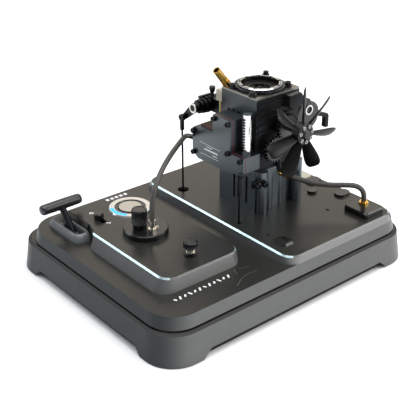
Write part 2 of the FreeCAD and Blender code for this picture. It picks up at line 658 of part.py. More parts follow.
def starter_bracket():
    """The bracket with its strap, the hook and the ring on the can's end, three solids."""
    plate = box(BLOCK_X[1], MOTOR_X - 6, -14, 8, 109, 130)
    strap = along_motor(MOTOR_R + 1.4, MOTOR_X, MOTOR_Z, -6, 2)
    can = along_motor(MOTOR_R, MOTOR_X, MOTOR_Z, MOTOR_Y[0] - 5, MOTOR_Y[1] + 5)
    terminal = along_motor(3.1, 89.3, 133.4, MOTOR_Y[0] - 5, MOTOR_Y[0] + 12)
    clamp = cut(fuse([plate, strap]), [can, terminal, box(60, BLOCK_X[1], -20, 20, 90, 140)])
    return Part.makeCompound([clamp, tensioner_hook().cut(can), starter_end_ring()])


def tensioner_hook():
    points = [(101.5, 121.2), (105.5, 119.3), (117.8, 115.2), (119.3, 112.8), (119.3, 102.0), (115.7, 102.0),
              (115.7, 111.4), (114.8, 112.5), (105.0, 115.8), (101.5, 116.2)]
    return prism_xz(points, MOTOR_Y[0], MOTOR_Y[0] + 5.0)


def belt_cover():
    points = [(57.5, 148.5), (70.5, 149.2), (74.2, 145.0), (74.2, 139.0), (63.5, 134.5), (57.5, 139.0)]
    return prism_xz(points, BLOCK_Y[0] - 6.5, BLOCK_Y[0])


# Side cover and column ---------------------------------------------------------

COVER_OUTLINE = [(37.0, 90.5), (37.0, 113.5), (31.5, 116.8), (9.8, 117.8), (9.8, 133.5), (-13.2, 133.5),
                 (-13.2, 104.8), (-29.5, 104.8), (-29.5, 91.0), (-12.0, 86.2), (29.0, 86.2)]
COVER_BOLTS = [(34.6, 111.4), (7.4, 130.2), (-10.6, 130.2), (34.6, 91.2), (-10.6, 104.0), (-26.6, 101.8)]


def drilled(shape, r, x0, x1):
    return cut(shape, [rod(r, (x0, y, z), (x1, y, z)) for y, z in COVER_BOLTS])


def side_cover():
    return drilled(prism_yz(COVER_OUTLINE, COVER_X, COVER_X + COVER_T), 1.3, COVER_X, COVER_X + COVER_T)


def side_gasket():
    x0 = COVER_X + COVER_T
    return drilled(prism_yz(COVER_OUTLINE, x0, x0 + GASKET_T), 1.3, x0, x0 + GASKET_T)


def timing_case():
    x0 = COVER_X + COVER_T + GASKET_T
    body = prism_yz(COVER_OUTLINE, x0, BLOCK_X[0])
    hollow = box(x0, BLOCK_X[0] - 3, -9, 27, 92, 113)
    return drilled(body, 1.3, x0, x0 + 6).cut(hollow)


def side_cover_bolts():
    bolts = []
    for y, z in COVER_BOLTS:
        head = rod(2.3, (COVER_X - 2.6, y, z), (COVER_X, y, z))
        shank = rod(1.25, (COVER_X, y, z), (COVER_X + 7, y, z))
        bolts.append(fuse([head, shank]).cut(rod(1.1, (COVER_X - 2.6, y, z), (COVER_X - 1.2, y, z))))
    return Part.makeCompound(bolts)


def coolant_column():
    x, y = 18.0, -20.5
    lower = rod(4.0, (x, y, 104.8), (x, y, 120.4))
    waist = rod(3.7, (x, y, 120.4), (x, y, 120.9))
    upper = rod(4.0, (x, y, 120.9), (x, y, 139.5))
    return fuse([lower, waist, upper])


# Head -------------------------------------------------------------------------

def head_plate():
    x0, x1 = BLOCK_X
    y0, y1 = BLOCK_Y
    plate = slab(x0, x1, y0, y1, BLOCK_Z1, HEAD_Z1, 1.0)
    return plate.cut(rod(COLLAR_IN_R + 1.0, (AXIS_X, AXIS_Y, BLOCK_Z1), (AXIS_X, AXIS_Y, HEAD_Z1)))


LUGS = [(27.8, 9.5), (26.8, -16.5), (67.5, -17.5), (72.0, 14.8)]


def collar():
    centre = (AXIS_X, AXIS_Y)
    z0, z1 = HEAD_Z1, COLLAR_Z1
    ring = rod(COLLAR_OUT_R + 1.6, (*centre, z0), (*centre, z1 - 1.2))
    body = [ring]
    for x, y in LUGS:
        toward = V(AXIS_X - x, AXIS_Y - y, 0)
        toward.normalize()
        body.append(rod(3.2, (x, y, z0), (x, y, z1 - 1.6)))
        side = V(-toward.y, toward.x, 0) * 3.2
        a = V(x, y, z0)
        b = a + toward * 8.0
        corners = [a + side, a - side, b - side, b + side]
        body.append(Part.Face(Part.makePolygon(corners + corners[:1])).extrude(V(0, 0, z1 - 1.6 - z0)))
    seats = [rod(2.6, (x, y, z1 - 1.6), (x, y, z1)) for x, y in LUGS]
    return cut(fuse(body), [rod(COLLAR_IN_R, (*centre, z0), (*centre, z1))] + seats)


def collar_trim():
    centre = (AXIS_X, AXIS_Y)
    z0, z1 = COLLAR_Z1 - 1.2, COLLAR_Z1 + 0.4
    ring = fuse([rod(COLLAR_OUT_R - 1.0, (*centre, z0), (*centre, z1 - 0.8)),
                 cone(COLLAR_OUT_R - 1.0, COLLAR_OUT_R - 2.0, (*centre, z1 - 0.8), (*centre, z1))])
    notches = []
    for n in range(9):
        a = math.radians(40 * n + 12)
        x, y = AXIS_X + (COLLAR_IN_R + 0.5) * math.cos(a), AXIS_Y + (COLLAR_IN_R + 0.5) * math.sin(a)
        notches.append(rod(1.7, (x, y, z0 + 0.7), (x, y, z1)))
    return cut(ring, [rod(COLLAR_IN_R, (*centre, z0), (*centre, z1))] + notches)


def collar_bolts():
    bolts = []
    for x, y in LUGS:
        z = COLLAR_Z1 - 1.6
        head = rod(2.5, (x, y, z), (x, y, z + 2.6))
        bolts.append(head.cut(rod(1.2, (x, y, z + 1.2), (x, y, z + 2.6))))
    return Part.makeCompound(bolts)


def glow_plug():
    x, y = AXIS_X, AXIS_Y
    base = rod(9.9, (x, y, 143.0), (x, y, 146.5))
    nut = hexagon(8.0, x, y, 146.5, 149.5)
    tip = rod(1.6, (x, y, 149.5), (x, y, 151.2))
    return fuse([base, nut, tip])


def exhaust_pipe():
    """The open pipe, with a ferrule round the 8 mm next to the head."""
    start, end = V(29.5, 16.3, HEAD_Z1), V(15.8, 16.6, 168.5)
    d = (end - start).normalize()
    ferrule = Part.makeCylinder(3.7, 8.0, start, d)
    tube = Part.makeCylinder(3.3, (end - start).Length, start, d)
    bore = Part.makeCylinder(2.6, (end - start).Length, start, d)
    return cut(fuse([ferrule, tube]), [bore, box(10, 40, 5, 25, HEAD_Z1 - 6, HEAD_Z1)])


# Carburettor --------------------------------------------------------------------

def carb_gaskets():
    """Two flange gaskets, one on the other."""
    inner = box(25.2, 37, BLOCK_Y[1], BLOCK_Y[1] + 1.4, 125.5, 136.4)
    outer = box(25.0, 37.2, BLOCK_Y[1] + 1.4, BLOCK_Y[1] + 3.2, 125.2, 136.7)
    return Part.makeCompound([inner, outer])


def intake_spacer():
    return box(25.0, 40, BLOCK_Y[1], BLOCK_Y[1] + 7.4, 136.9, 147.0)


def carb_body():
    y0 = BLOCK_Y[1] + 3.2
    block = box(25.0, 38, y0, CARB_Y, 124.5, 136.5)
    throat = rod(7.0, (25.0, CARB_Y, CARB_Z), (36, CARB_Y, CARB_Z))
    body = fuse([block, throat, carb_barrel(), idle_screw(), choke_bar()])
    return body.cut(rod(2.05, (10, CARB_Y, CARB_Z), (34, CARB_Y, CARB_Z)))


def carb_barrel():
    """The ribbed rotary barrel that the throttle shaft turns in."""
    ribs = []
    x = 13.0
    radii = (6.2, 5.4, 6.8, 5.8, 7.2, 6.0)
    for r in radii:
        ribs.append(rod(r, (x, CARB_Y, CARB_Z), (x + 2.0, CARB_Y, CARB_Z)))
        x += 2.0
    return fuse(ribs)


def arm_point(r):
    a = math.radians(ARM_DEG)
    return V(ARM_X, CARB_Y + r * math.cos(a), CARB_Z + r * math.sin(a))


def throttle_arm():
    ball = arm_point(ARM_R)
    hub = rod(4.6, (ARM_X - 1.6, CARB_Y, CARB_Z), (ARM_X + 3.0, CARB_Y, CARB_Z))
    shaft = rod(2.0, (ARM_X + 3.0, CARB_Y, CARB_Z), (33.0, CARB_Y, CARB_Z))
    a = math.radians(ARM_DEG)
    side = V(0, -math.sin(a), math.cos(a))
    hub_c = V(ARM_X - 1.2, CARB_Y, CARB_Z)
    tip_c = V(ARM_X - 1.2, ball.y, ball.z)
    corners = [hub_c + side * 4.4, tip_c + side * 2.6, tip_c - side * 2.6, hub_c - side * 4.4]
    arm = Part.Face(Part.makePolygon(corners + corners[:1])).extrude(V(2.4, 0, 0))
    tip = rod(2.6, (ARM_X - 1.2, ball.y, ball.z), (ARM_X + 1.2, ball.y, ball.z))
    stud = rod(1.1, (ARM_X - 4.4, ball.y, ball.z), (ARM_X - 1.2, ball.y, ball.z))
    ring = pipe(4.5, 3.1, (ARM_X - 2.4, CARB_Y, CARB_Z), (ARM_X - 1.6, CARB_Y, CARB_Z))
    return fuse([hub, shaft, arm, tip, stud, ring])


LINK_X = ARM_X - 3.4


def throttle_link():
    ball = arm_point(ARM_R)
    socket = rod(3.1, (LINK_X - 1.6, ball.y, ball.z), (LINK_X + 1.6, ball.y, ball.z))
    body = rod(2.0, (LINK_X, ball.y, ball.z - 11.5), (LINK_X, ball.y, ball.z - 1.0))
    wire = rod(0.9, (LINK_X, ball.y, 36.0), (LINK_X, ball.y, ball.z - 11.5))
    hole = rod(1.15, (LINK_X - 3, ball.y, ball.z), (LINK_X + 3, ball.y, ball.z))
    return fuse([socket, body, wire]).cut(hole)


def idle_screw():
    x, y = 27.5, 35.5
    z0 = CARB_Z + 3.6
    stem = rod(1.5, (x, y, z0 - 1), (x, y, z0 + 8))
    head = fuse([cone(1.8, 2.8, (x, y, z0 + 7), (x, y, z0 + 10)), rod(2.8, (x, y, z0 + 10), (x, y, z0 + 12.4))])
    return fuse([stem, head])


def choke_bar():
    bar = box(17.0, 31.5, 39.6, 42.4, 136.2, 138.2)
    post = box(29.5, 31.5, 39.6, 42.4, 133.0, 136.2)
    return fuse([bar, post])


# Pipes under the cover and hoses -----------------------------------------------

def drain_pipe():
    drop = rod(0.9, (DRAIN_X, DRAIN_Y, 38.0), (DRAIN_X, DRAIN_Y, 72.0))
    sleeve = rod(1.7, (DRAIN_X, DRAIN_Y, 72.0), (DRAIN_X, DRAIN_Y, 84.0))
    elbow = rod(1.5, (DRAIN_X, DRAIN_Y, 84.0), (DRAIN_X, DRAIN_Y, 91.0))
    ball = Part.makeSphere(2.4, V(DRAIN_X, DRAIN_Y, 91.0))
    side = rod(1.8, (DRAIN_X, DRAIN_Y, 91.0), (COVER_X, DRAIN_Y, 91.0))
    return fuse([drop, sleeve, elbow, ball, side]).cut(box(COVER_X, COVER_X + 5, -35, -20, 80, 100))


RETURN_ELBOW = (52.0, -28.6, 79.0)
RETURN_AIM = (57.5, -33.5, 76.0)
FUEL_ELBOW = (17.2, 45.8, 97.3)
FUEL_AIM = (11.0, 43.6, 100.8)


def elbow_fitting(root, elbow, aim, r):
    """A banjo fitting: a stub out of the wall, a ball, and a barb that points along the hose."""
    a, b, c = V(*root), V(*elbow), V(*aim)
    d = (c - b).normalize()
    stub = Part.makeCylinder(r - 0.4, (b - a).Length, a, b - a)
    nut = Part.makeCylinder(r + 1.2, 1.6, a, b - a)
    barb = Part.makeCylinder(r, (c - b).Length, b, d)
    return fuse([stub, nut, Part.makeSphere(r + 0.3, b), barb])


def brass_fittings():
    crank_side = elbow_fitting((RETURN_ELBOW[0], BLOCK_Y[0], STAND_Z1 + 3), RETURN_ELBOW, RETURN_AIM, 2.7)
    inlet = elbow_fitting((FUEL_ELBOW[0], COVER_OUTLINE[0][0], FUEL_ELBOW[2]), FUEL_ELBOW, FUEL_AIM, 2.4)
    return Part.makeCompound([crank_side.cut(box(40, 64, BLOCK_Y[0], BLOCK_Y[0] + 10, 70, 100)), inlet, return_fitting()])


FUEL_ROUTE = [(FUEL_FITTING_X, FUEL_FITTING_Y, FLANGE_Z1 + 11.5), (FUEL_FITTING_X, FUEL_FITTING_Y, 80.5),
              (-67.8, -5.2, 93.8), (-54.8, 2.3, 102.4), (-39.0, 11.5, 107.4), (-22.0, 22.0, 109.2),
              (-7.0, 33.0, 108.4), (3.25, 41.05, 105.175), FUEL_AIM]
RETURN_ROUTE = [(RETURN_X, RETURN_Y, RETURN_TOP), (RETURN_X, RETURN_Y, 60.7), (102.4, -78.4, 65.8),
                (98.8, -74.8, 68.6), (94.0, -70.0, 69.0), (83.5, -59.5, 68.2), (69.6, -44.28, 69.4), RETURN_AIM]


def hose(route, r, name):
    """Straight runs joined by tangent arcs, each as large as its two runs allow."""
    pts = [V(*p) for p in route]
    edges = []
    start = pts[0]
    radii = []
    for a, b, c in zip(pts, pts[1:], pts[2:]):
        u = (b - a).normalize()
        w = (c - b).normalize()
        turn = u.getAngle(w)
        reach = 0.45 * min((b - a).Length, (c - b).Length)
        radii.append(reach / math.tan(turn / 2))
        into = b - u * reach
        out = b + w * reach
        to_mid = (w - u).normalize()
        centre_distance = radii[-1] / math.cos(turn / 2)
        middle = b + to_mid * (centre_distance - radii[-1])
        edges.append(Part.LineSegment(start, into).toShape())
        edges.append(Part.Arc(into, middle, out).toShape())
        start = out
    edges.append(Part.LineSegment(start, pts[-1]).toShape())
    path = Part.Wire(edges)
    ring = Part.Wire([Part.Circle(pts[0], (pts[1] - pts[0]).normalize(), r).toShape()])
    solid = path.makePipeShell([ring], True, False)
    expected = math.pi * r * r * path.Length
    print(name, "length", round(path.Length, 1), "mm, radii", [round(v, 1) for v in radii],
          "volume ratio", round(solid.Volume / expected, 4))
    return solid


def fuel_hose():
    return hose(FUEL_ROUTE, HOSE_R, "fuel_hose")


def return_hose():
    return hose(RETURN_ROUTE, RETURN_HOSE_R, "return_hose")


PARTS = [base_tray, bottom_plate, rubber_feet, seam_gasket, tier_shell, control_deck, lever_bezel, throttle_lever,
         throttle_grip, lever_pivot, start_bezel, start_light_ring, start_button, start_spring, selector_knob,
         fuel_tank, tank_flange, filler_neck, filler_cap, fuel_fitting, primer_cap, primer_spring, primer_guide,
         engine_deck, deck_pads, terminal_plate, return_block, starter_battery, engine_stand, crankcase,
         cylinder_block, cylinder_liner, piston, connecting_rod, timing_gear, fan_gear, fan_hub, fan_blades,
         starter_motor, starter_bracket, side_cover, side_gasket, timing_case, side_cover_bolts, coolant_column,
         head_plate, collar, collar_trim, collar_bolts, glow_plug, exhaust_pipe, carb_gaskets, intake_spacer,
         carb_body, throttle_arm, throttle_link, drain_pipe, brass_fittings, fuel_hose, return_hose]

for make in PARTS:
    save(make.__name__, make())
print(len(PARTS), "nodes")
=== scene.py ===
# %% [markdown]
# # A miniature engine on its starter base
# The CAD model gives every hard part its place and size. This script dresses it: hoses, springs,
# twisted fan blades, printed marks and a finish for every surface. Lengths are written in
# millimetres where they describe the object, and one constant turns them to Blender's metres.

# %% Load the frame
import math

import bmesh
import bpy
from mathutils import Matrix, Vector


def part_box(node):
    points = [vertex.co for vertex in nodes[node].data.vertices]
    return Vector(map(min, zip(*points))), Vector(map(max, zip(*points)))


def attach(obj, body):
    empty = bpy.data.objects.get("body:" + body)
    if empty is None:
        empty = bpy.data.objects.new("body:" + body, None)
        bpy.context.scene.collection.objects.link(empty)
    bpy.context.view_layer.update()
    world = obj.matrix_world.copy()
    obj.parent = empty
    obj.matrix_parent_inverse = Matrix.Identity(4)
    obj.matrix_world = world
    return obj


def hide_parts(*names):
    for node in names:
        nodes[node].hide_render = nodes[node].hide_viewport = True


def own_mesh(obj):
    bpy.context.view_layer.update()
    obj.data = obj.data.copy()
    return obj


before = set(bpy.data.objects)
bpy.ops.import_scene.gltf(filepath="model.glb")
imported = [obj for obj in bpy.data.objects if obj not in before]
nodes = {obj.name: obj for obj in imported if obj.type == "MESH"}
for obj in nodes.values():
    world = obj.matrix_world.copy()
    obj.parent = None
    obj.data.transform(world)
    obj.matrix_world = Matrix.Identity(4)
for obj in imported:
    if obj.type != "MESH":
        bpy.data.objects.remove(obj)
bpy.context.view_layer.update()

MM = 0.001

# %% [markdown]
# ## The camera
# A product like this is shown from above one corner, so that the controls and the engine's face
# are both in view. A longish lens keeps the base's edges nearly parallel. The three numbers that
# matter are the direction in plan, the tilt and the lens, and the place is given as a fixed point.

# %% Camera
CAMERA_AT = Vector((-450.8, -525.7, 407.4)) * MM
LOOKS_DOWN, HEADING = 27.3, 49.85
CAMERA_TILT = math.radians(90 - LOOKS_DOWN)
CAMERA_TURN = math.radians(HEADING - 90)
FOCAL_PER_WIDTH = 887.1 / 416
camera_data = bpy.data.cameras.new("camera")
camera_data.sensor_width = 36.0
camera_data.lens = FOCAL_PER_WIDTH * camera_data.sensor_width
camera_data.clip_end = 50.0
camera = bpy.data.objects.new("camera", camera_data)
camera.location = CAMERA_AT
camera.rotation_euler = (CAMERA_TILT, 0.0, CAMERA_TURN)
bpy.context.scene.collection.objects.link(camera)
bpy.context.scene.camera = camera
print("lens", round(camera_data.lens, 1), "mm")

# %% [markdown]
# ## Colours and nodes
# Paint and plastic colours are picked as sRGB hex values, but shaders work in linear light, so one
# function converts them. A second small function adds any shader node with its settings and links,
# which keeps every material below to a few lines.

# %% Colour and node helpers
# A mix node holds its first value, its second and its result on these sockets.
COLOUR_MIX = (6, 7, 2)
NUMBER_MIX = (2, 3, 0)


def linear(hex_colour):
    """An sRGB hex value such as #808080 as linear red, green, blue and alpha."""
    channels = [int(hex_colour[n:n + 2], 16) / 255 for n in (1, 3, 5)]
    return [c / 12.92 if c <= 0.04045 else ((c + 0.055) / 1.055) ** 2.4 for c in channels] + [1.0]


def add_node(tree, kind, inputs=None, **settings):
    """Adds a node; a socket given as an input is linked, and anything else is set as its value."""
    node = tree.nodes.new(kind)
    for name, value in settings.items():
        setattr(node, name, value)
    for name, value in (inputs or {}).items():
        if isinstance(value, bpy.types.NodeSocket):
            tree.links.new(value, node.inputs[name])
        else:
            node.inputs[name].default_value = value
    return node


def per_metre(size_mm):
    """A texture's scale for a pattern whose features are that many millimetres across."""
    return 1.0 / (size_mm * MM)


def new_finish(name, **sockets):
    """A material with its Principled shader; constants go straight on the shader's own sockets."""
    material = bpy.data.materials.new(name)
    material.use_nodes = True
    shader = material.node_tree.nodes["Principled BSDF"]
    for socket, value in sockets.items():
        shader.inputs[socket.replace("_", " ")].default_value = value
    return material, material.node_tree, shader


def object_point(tree):
    return add_node(tree, "ShaderNodeTexCoord").outputs["Object"]


def mottle(finish_parts, dark, light, size_mm, roughness, grain_mm, grain_height_mm):
    """Colour that drifts between two tones, a roughness that drifts with it and a fine raised grain."""
    _, tree, shader = finish_parts
    point = object_point(tree)
    drift = add_node(tree, "ShaderNodeTexNoise", {"Vector": point, "Scale": per_metre(size_mm), "Detail": 4.0})
    first, second, result = COLOUR_MIX
    tones = add_node(tree, "ShaderNodeMix",
                     {"Factor": drift.outputs["Fac"], first: linear(dark), second: linear(light)}, data_type="RGBA")
    tree.links.new(tones.outputs[result], shader.inputs["Base Color"])
    rough = add_node(tree, "ShaderNodeMapRange",
                     {"Value": drift.outputs["Fac"], "To Min": roughness[0], "To Max": roughness[1]})
    tree.links.new(rough.outputs["Result"], shader.inputs["Roughness"])
    grain = add_node(tree, "ShaderNodeTexNoise", {"Vector": point, "Scale": per_metre(grain_mm), "Detail": 3.0})
    bump = add_node(tree, "ShaderNodeBump",
                    {"Height": grain.outputs["Fac"], "Distance": grain_height_mm * MM, "Strength": 1.0})
    tree.links.new(bump.outputs["Normal"], shader.inputs["Normal"])


def recolour(tree, shader, factor, colour, roughness=None, metallic=None):
    """Lays a second colour over the first where the factor is one, with its own roughness and metal."""
    for socket, value in (("Base Color", linear(colour)), ("Roughness", roughness), ("Metallic", metallic)):
        if value is None:
            continue
        target = shader.inputs[socket]
        old = target.links[0].from_socket if target.is_linked else target.default_value
        kind, sockets = ("RGBA", COLOUR_MIX) if socket == "Base Color" else ("FLOAT", NUMBER_MIX)
        first, second, result = sockets
        mix = add_node(tree, "ShaderNodeMix", {"Factor": factor, first: old, second: value}, data_type=kind)
        tree.links.new(mix.outputs[result], target)


def from_axis(tree, centre_mm, keep):
    """How far a point lies from an axis through the centre; keep holds a one for each way across it."""
    offset = add_node(tree, "ShaderNodeVectorMath",
                      {0: object_point(tree), 1: Vector(centre_mm) * MM}, operation="SUBTRACT")
    across = add_node(tree, "ShaderNodeVectorMath", {0: offset.outputs[0], 1: keep}, operation="MULTIPLY")
    return add_node(tree, "ShaderNodeVectorMath", {0: across.outputs[0]}, operation="LENGTH").outputs["Value"]


def along(tree, axis):
    """One coordinate of the point being shaded."""
    return add_node(tree, "ShaderNodeSeparateXYZ", {"Vector": object_point(tree)}).outputs[axis]


def both(tree, one, other):
    """One where both masks are one, and nought elsewhere."""
    return add_node(tree, "ShaderNodeMath", {0: one, 1: other}, operation="MULTIPLY").outputs[0]


def between(tree, value, low, high):
    """One where the value lies between two limits, and nought elsewhere."""
    above = add_node(tree, "ShaderNodeMath", {0: value, 1: low}, operation="GREATER_THAN")
    below = add_node(tree, "ShaderNodeMath", {0: value, 1: high}, operation="LESS_THAN")
    return both(tree, above.outputs[0], below.outputs[0])


# %% [markdown]
# ## Building pieces
# Most of the small parts of a machine are turned, drawn or bent, so three builders make nearly all
# of them: a lathe that spins a profile round an axis, a strip or plate from points and faces, and a
# curve with a round section. Each piece is told which moving body it rides on.

# %% Piece builders


def adopt(obj, finish, body, slot, *replaced):
    """Puts a finished object in the scene: its material, the body it moves with and what it stands for."""
    if obj.name not in bpy.context.scene.collection.objects:
        bpy.context.scene.collection.objects.link(obj)
    if not obj.data.materials:
        obj.data.materials.append(finish)
    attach(obj, body)
    if replaced:
        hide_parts(*replaced)
    return obj


def mesh_object(name, points_mm, faces, smooth_below=40.0):
    """A mesh from points in millimetres, shaded smooth except over edges sharper than the angle."""
    mesh = bpy.data.meshes.new(name)
    mesh.from_pydata([Vector(p) * MM for p in points_mm], [], faces)
    build = bmesh.new()
    build.from_mesh(mesh)
    bmesh.ops.remove_doubles(build, verts=build.verts, dist=1e-7)
    bmesh.ops.recalc_face_normals(build, faces=build.faces)
    for face in build.faces:
        face.smooth = True
    for edge in build.edges:
        edge.smooth = len(edge.link_faces) == 2 and edge.calc_face_angle(0.0) < math.radians(smooth_below)
    build.to_mesh(mesh)
    build.free()
    return bpy.data.objects.new(name, mesh)


def turned(name, profile, centre, axis, around=48, flutes=0, flute_depth=0.0):
    """A lathe: (radius, height) rows spun round an axis. Rows with a third value take the flutes."""
    turn = Vector((0, 0, 1)).rotation_difference(Vector(axis)).to_matrix()
    points, faces = [], []
    for n in range(around):
        angle = 2 * math.pi * n / around
        dip = flute_depth * (0.5 - 0.5 * math.cos(flutes * angle)) if flutes else 0.0
        for radius, height, *fluted in profile:
            r = radius - (dip if fluted else 0.0)
            points.append(turn @ Vector((r * math.cos(angle), r * math.sin(angle), height)) + Vector(centre))
    rows = len(profile)
    for n in range(around):
        for row in range(rows - 1):
            a, b = n * rows + row, (n + 1) % around * rows + row
            faces.append((a, b, b + 1, a + 1))
    return mesh_object(name, points, faces)


def rounded_box(name, low, high, bevel_mm):
    """A box with a small round on every edge."""
    corners = [(x, y, z) for x in (low[0], high[0]) for y in (low[1], high[1]) for z in (low[2], high[2])]
    sides = [(0, 1, 3, 2), (4, 6, 7, 5), (0, 4, 5, 1), (2, 3, 7, 6), (0, 2, 6, 4), (1, 5, 7, 3)]
    obj = mesh_object(name, corners, sides)
    build = bmesh.new()
    build.from_mesh(obj.data)
    bmesh.ops.bevel(build, geom=build.edges[:], offset=bevel_mm * MM, segments=2, affect="EDGES", profile=0.5)
    for face in build.faces:
        face.smooth = True
    build.to_mesh(obj.data)
    build.free()
    return obj


def wire(name, points_mm, radius_mm, order=3, cyclic=False):
    """A round wire or tube along one smooth spline with the points as its control points."""
    curve = bpy.data.curves.new(name, "CURVE")
    curve.dimensions = "3D"
    curve.bevel_depth = radius_mm * MM
    curve.bevel_resolution = 6
    curve.use_fill_caps = not cyclic
    spline = curve.splines.new("NURBS")
    spline.points.add(len(points_mm) - 1)
    for point, place in zip(spline.points, points_mm):
        point.co = (*(Vector(place) * MM), 1.0)
    spline.order_u = order
    spline.use_endpoint_u = not cyclic
    spline.use_cyclic_u = cyclic
    spline.resolution_u = 16
    return bpy.data.objects.new(name, curve)


def as_mesh(obj):
    """Turns a curve into a plain mesh object of the same name."""
    bpy.context.scene.collection.objects.link(obj)
    bpy.context.view_layer.update()
    mesh = bpy.data.meshes.new_from_object(obj.evaluated_get(bpy.context.evaluated_depsgraph_get()))
    name = obj.name
    bpy.data.objects.remove(obj)
    mesh.name = name
    for polygon in mesh.polygons:
        polygon.use_smooth = True
    return bpy.data.objects.new(name, mesh)


# %% [markdown]
# ## The two hoses
# Model engines are plumbed with extruded silicone tube, smoke-grey and slightly glossy. It is soft
# enough to push over a barb and stiff enough to spring up in an arch, so each hose leaves its
# fitting straight, bows over and comes down to the next fitting. A NURBS spline with few control
# points gives that even curve, where joined arcs would look like bent wire.

# %% Silicone tube
silicone_parts = new_finish("extruded_silicone_tube", IOR=1.41, Coat_Weight=0.12, Coat_Roughness=0.3)
silicone = silicone_parts[0]
# Extrusion leaves long faint streaks and a satin skin; the tone drifts over a few millimetres.
mottle(silicone_parts, "#343230", "#45423f", 6.0, (0.38, 0.5), 0.5, 0.02)

# %% Fuel hose
FUEL_ROUTE = [(-75.0, -9.5, 67.5), (-75.0, -9.5, 80.5), (-67.8, -5.2, 93.8), (-54.8, 2.3, 102.4),
              (-39.0, 11.5, 107.4), (-22.0, 22.0, 109.2), (-7.0, 33.0, 108.4), (3.25, 41.05, 105.175),
              (11.0, 43.6, 100.8)]
FUEL_HOSE_R = 2.2
fuel_hose = adopt(wire("fuel_hose_tube", FUEL_ROUTE, FUEL_HOSE_R), silicone, "frame", "hose_silicone", "fuel_hose")
print("fuel hose", len(FUEL_ROUTE), "control points")

# %% Return hose
RETURN_ROUTE = [(104.5, -80.5, 54.8), (104.5, -80.5, 60.7), (102.4, -78.4, 65.8), (98.8, -74.8, 68.6),
                (94.0, -70.0, 69.0), (83.5, -59.5, 68.2), (69.6, -44.28, 69.4), (57.5, -33.5, 76.0)]
RETURN_HOSE_R = 2.3
return_hose = adopt(wire("return_hose_tube", RETURN_ROUTE, RETURN_HOSE_R), silicone, "frame", "hose_silicone",
                    "return_hose")
print("return hose", len(RETURN_ROUTE), "control points")

# %% [markdown]
# ## The base's metal
# The two trays are cast aluminium, bead-blasted and anodised dark grey. Blasting leaves a fine even
# grain that softens every reflection, so the upright faces glow a mid grey where they look at the
# pale table. The level tops are sprayed with black satin lacquer, which hides finger marks, and
# only shows the room at a low angle. The deck edges are cut afterwards with a diamond tool, which
# goes through the colour and leaves a bright line; its pale blue-white, laid only on the edges that
# face the ends, is a painted highlight. The deck's long near sides are painted lighter, as painted
# light, and the tray's left end darker, as painted shade. The finish is chosen by which way a face
# points: for the tops and cut edges because that is how the real parts are masked and cut, and for
# the near sides and the left end to paint light and shade.

# %% Anodised shell with lacquered top, cut edge, and painted light and shade
LEVEL = 0.95


def facing(tree, axis="Z"):
    """One part of the surface's direction; for Z it is one on level tops and nought on upright sides."""
    geometry = add_node(tree, "ShaderNodeNewGeometry")
    return add_node(tree, "ShaderNodeSeparateXYZ", {"Vector": geometry.outputs["Normal"]}).outputs[axis]


def turned_towards(tree, axis, start, end):
    """Nought until the surface faces along the axis by the first amount, then rising smoothly to one."""
    return add_node(tree, "ShaderNodeMapRange", {"Value": facing(tree, axis), "From Min": start, "From Max": end},
                    interpolation_type="SMOOTHSTEP").outputs["Result"]


def shell_finish(name, deck):
    """The deck's end edges are cut bright with a painted highlight, its near sides painted light; the tray's shoulder
    is blackened for the seam, its left end painted shade.
    """
    parts = new_finish(name, Metallic=0.65, IOR=1.45)
    material, tree, shader = parts
    mottle(parts, "#5d5e5f", "#686969", 9.0, (0.36, 0.46), 0.35, 0.012)
    up = facing(tree)
    level = add_node(tree, "ShaderNodeMath", {0: up, 1: LEVEL}, operation="GREATER_THAN").outputs[0]
    recolour(tree, shader, level, "#1f1f1c", 0.32, 0.0)
    if deck:
        ends = add_node(tree, "ShaderNodeMath", {0: facing(tree, "X")}, operation="ABSOLUTE").outputs[0]
        # The end chamfers are cut bright metal, and the pale blue-white laid only on those facing the ends is a
        # painted highlight.
        cut_edge_highlight = both(tree, between(tree, up, 0.55, 0.85), between(tree, ends, 0.4, 1.0))
        recolour(tree, shader, cut_edge_highlight, "#afc4c9", 0.32, 0.9)
        # The deck's long near sides are painted lighter: painted light.
        near_side_light = both(tree, between(tree, up, -0.1, 0.5), turned_towards(tree, "Y", -0.3, -0.95))
        recolour(tree, shader, near_side_light, "#7d7e7e")
    else:
        shoulder = between(tree, up, 0.4, 0.9)
        recolour(tree, shader, shoulder, "#1d1d1c", 0.6, 0.0)
        # The tray's left end is painted darker: painted shade.
        left_end_shade = both(tree, between(tree, up, -0.1, 0.4), turned_towards(tree, "X", -0.2, -0.98))
        recolour(tree, shader, left_end_shade, "#2f3335")
    return material


base_shell = shell_finish("blasted_anodised_aluminium_with_painted_shade", False)
deck_shell = shell_finish("anodised_aluminium_with_cut_edge_and_painted_light", True)
print("shell finishes made")

# %% [markdown]
# ## Other finishes
# Black anodised aluminium covers the engine's small machined parts, and a cooler gunmetal
# dye its covers. Both are metal under a thin dyed oxide, so they stay metallic with a low, dark
# reflection. Turned brass, nickelled steel and polished aluminium show tool lines too fine to see
# one by one, and a faint noise in the roughness stands for them.

# %% Metals


def metal(name, dark, light, roughness, size_mm=4.0, grain_mm=0.4, grain_height_mm=0.006, **sockets):
    parts = new_finish(name, Metallic=1.0, **sockets)
    mottle(parts, dark, light, size_mm, roughness, grain_mm, grain_height_mm)
    return parts


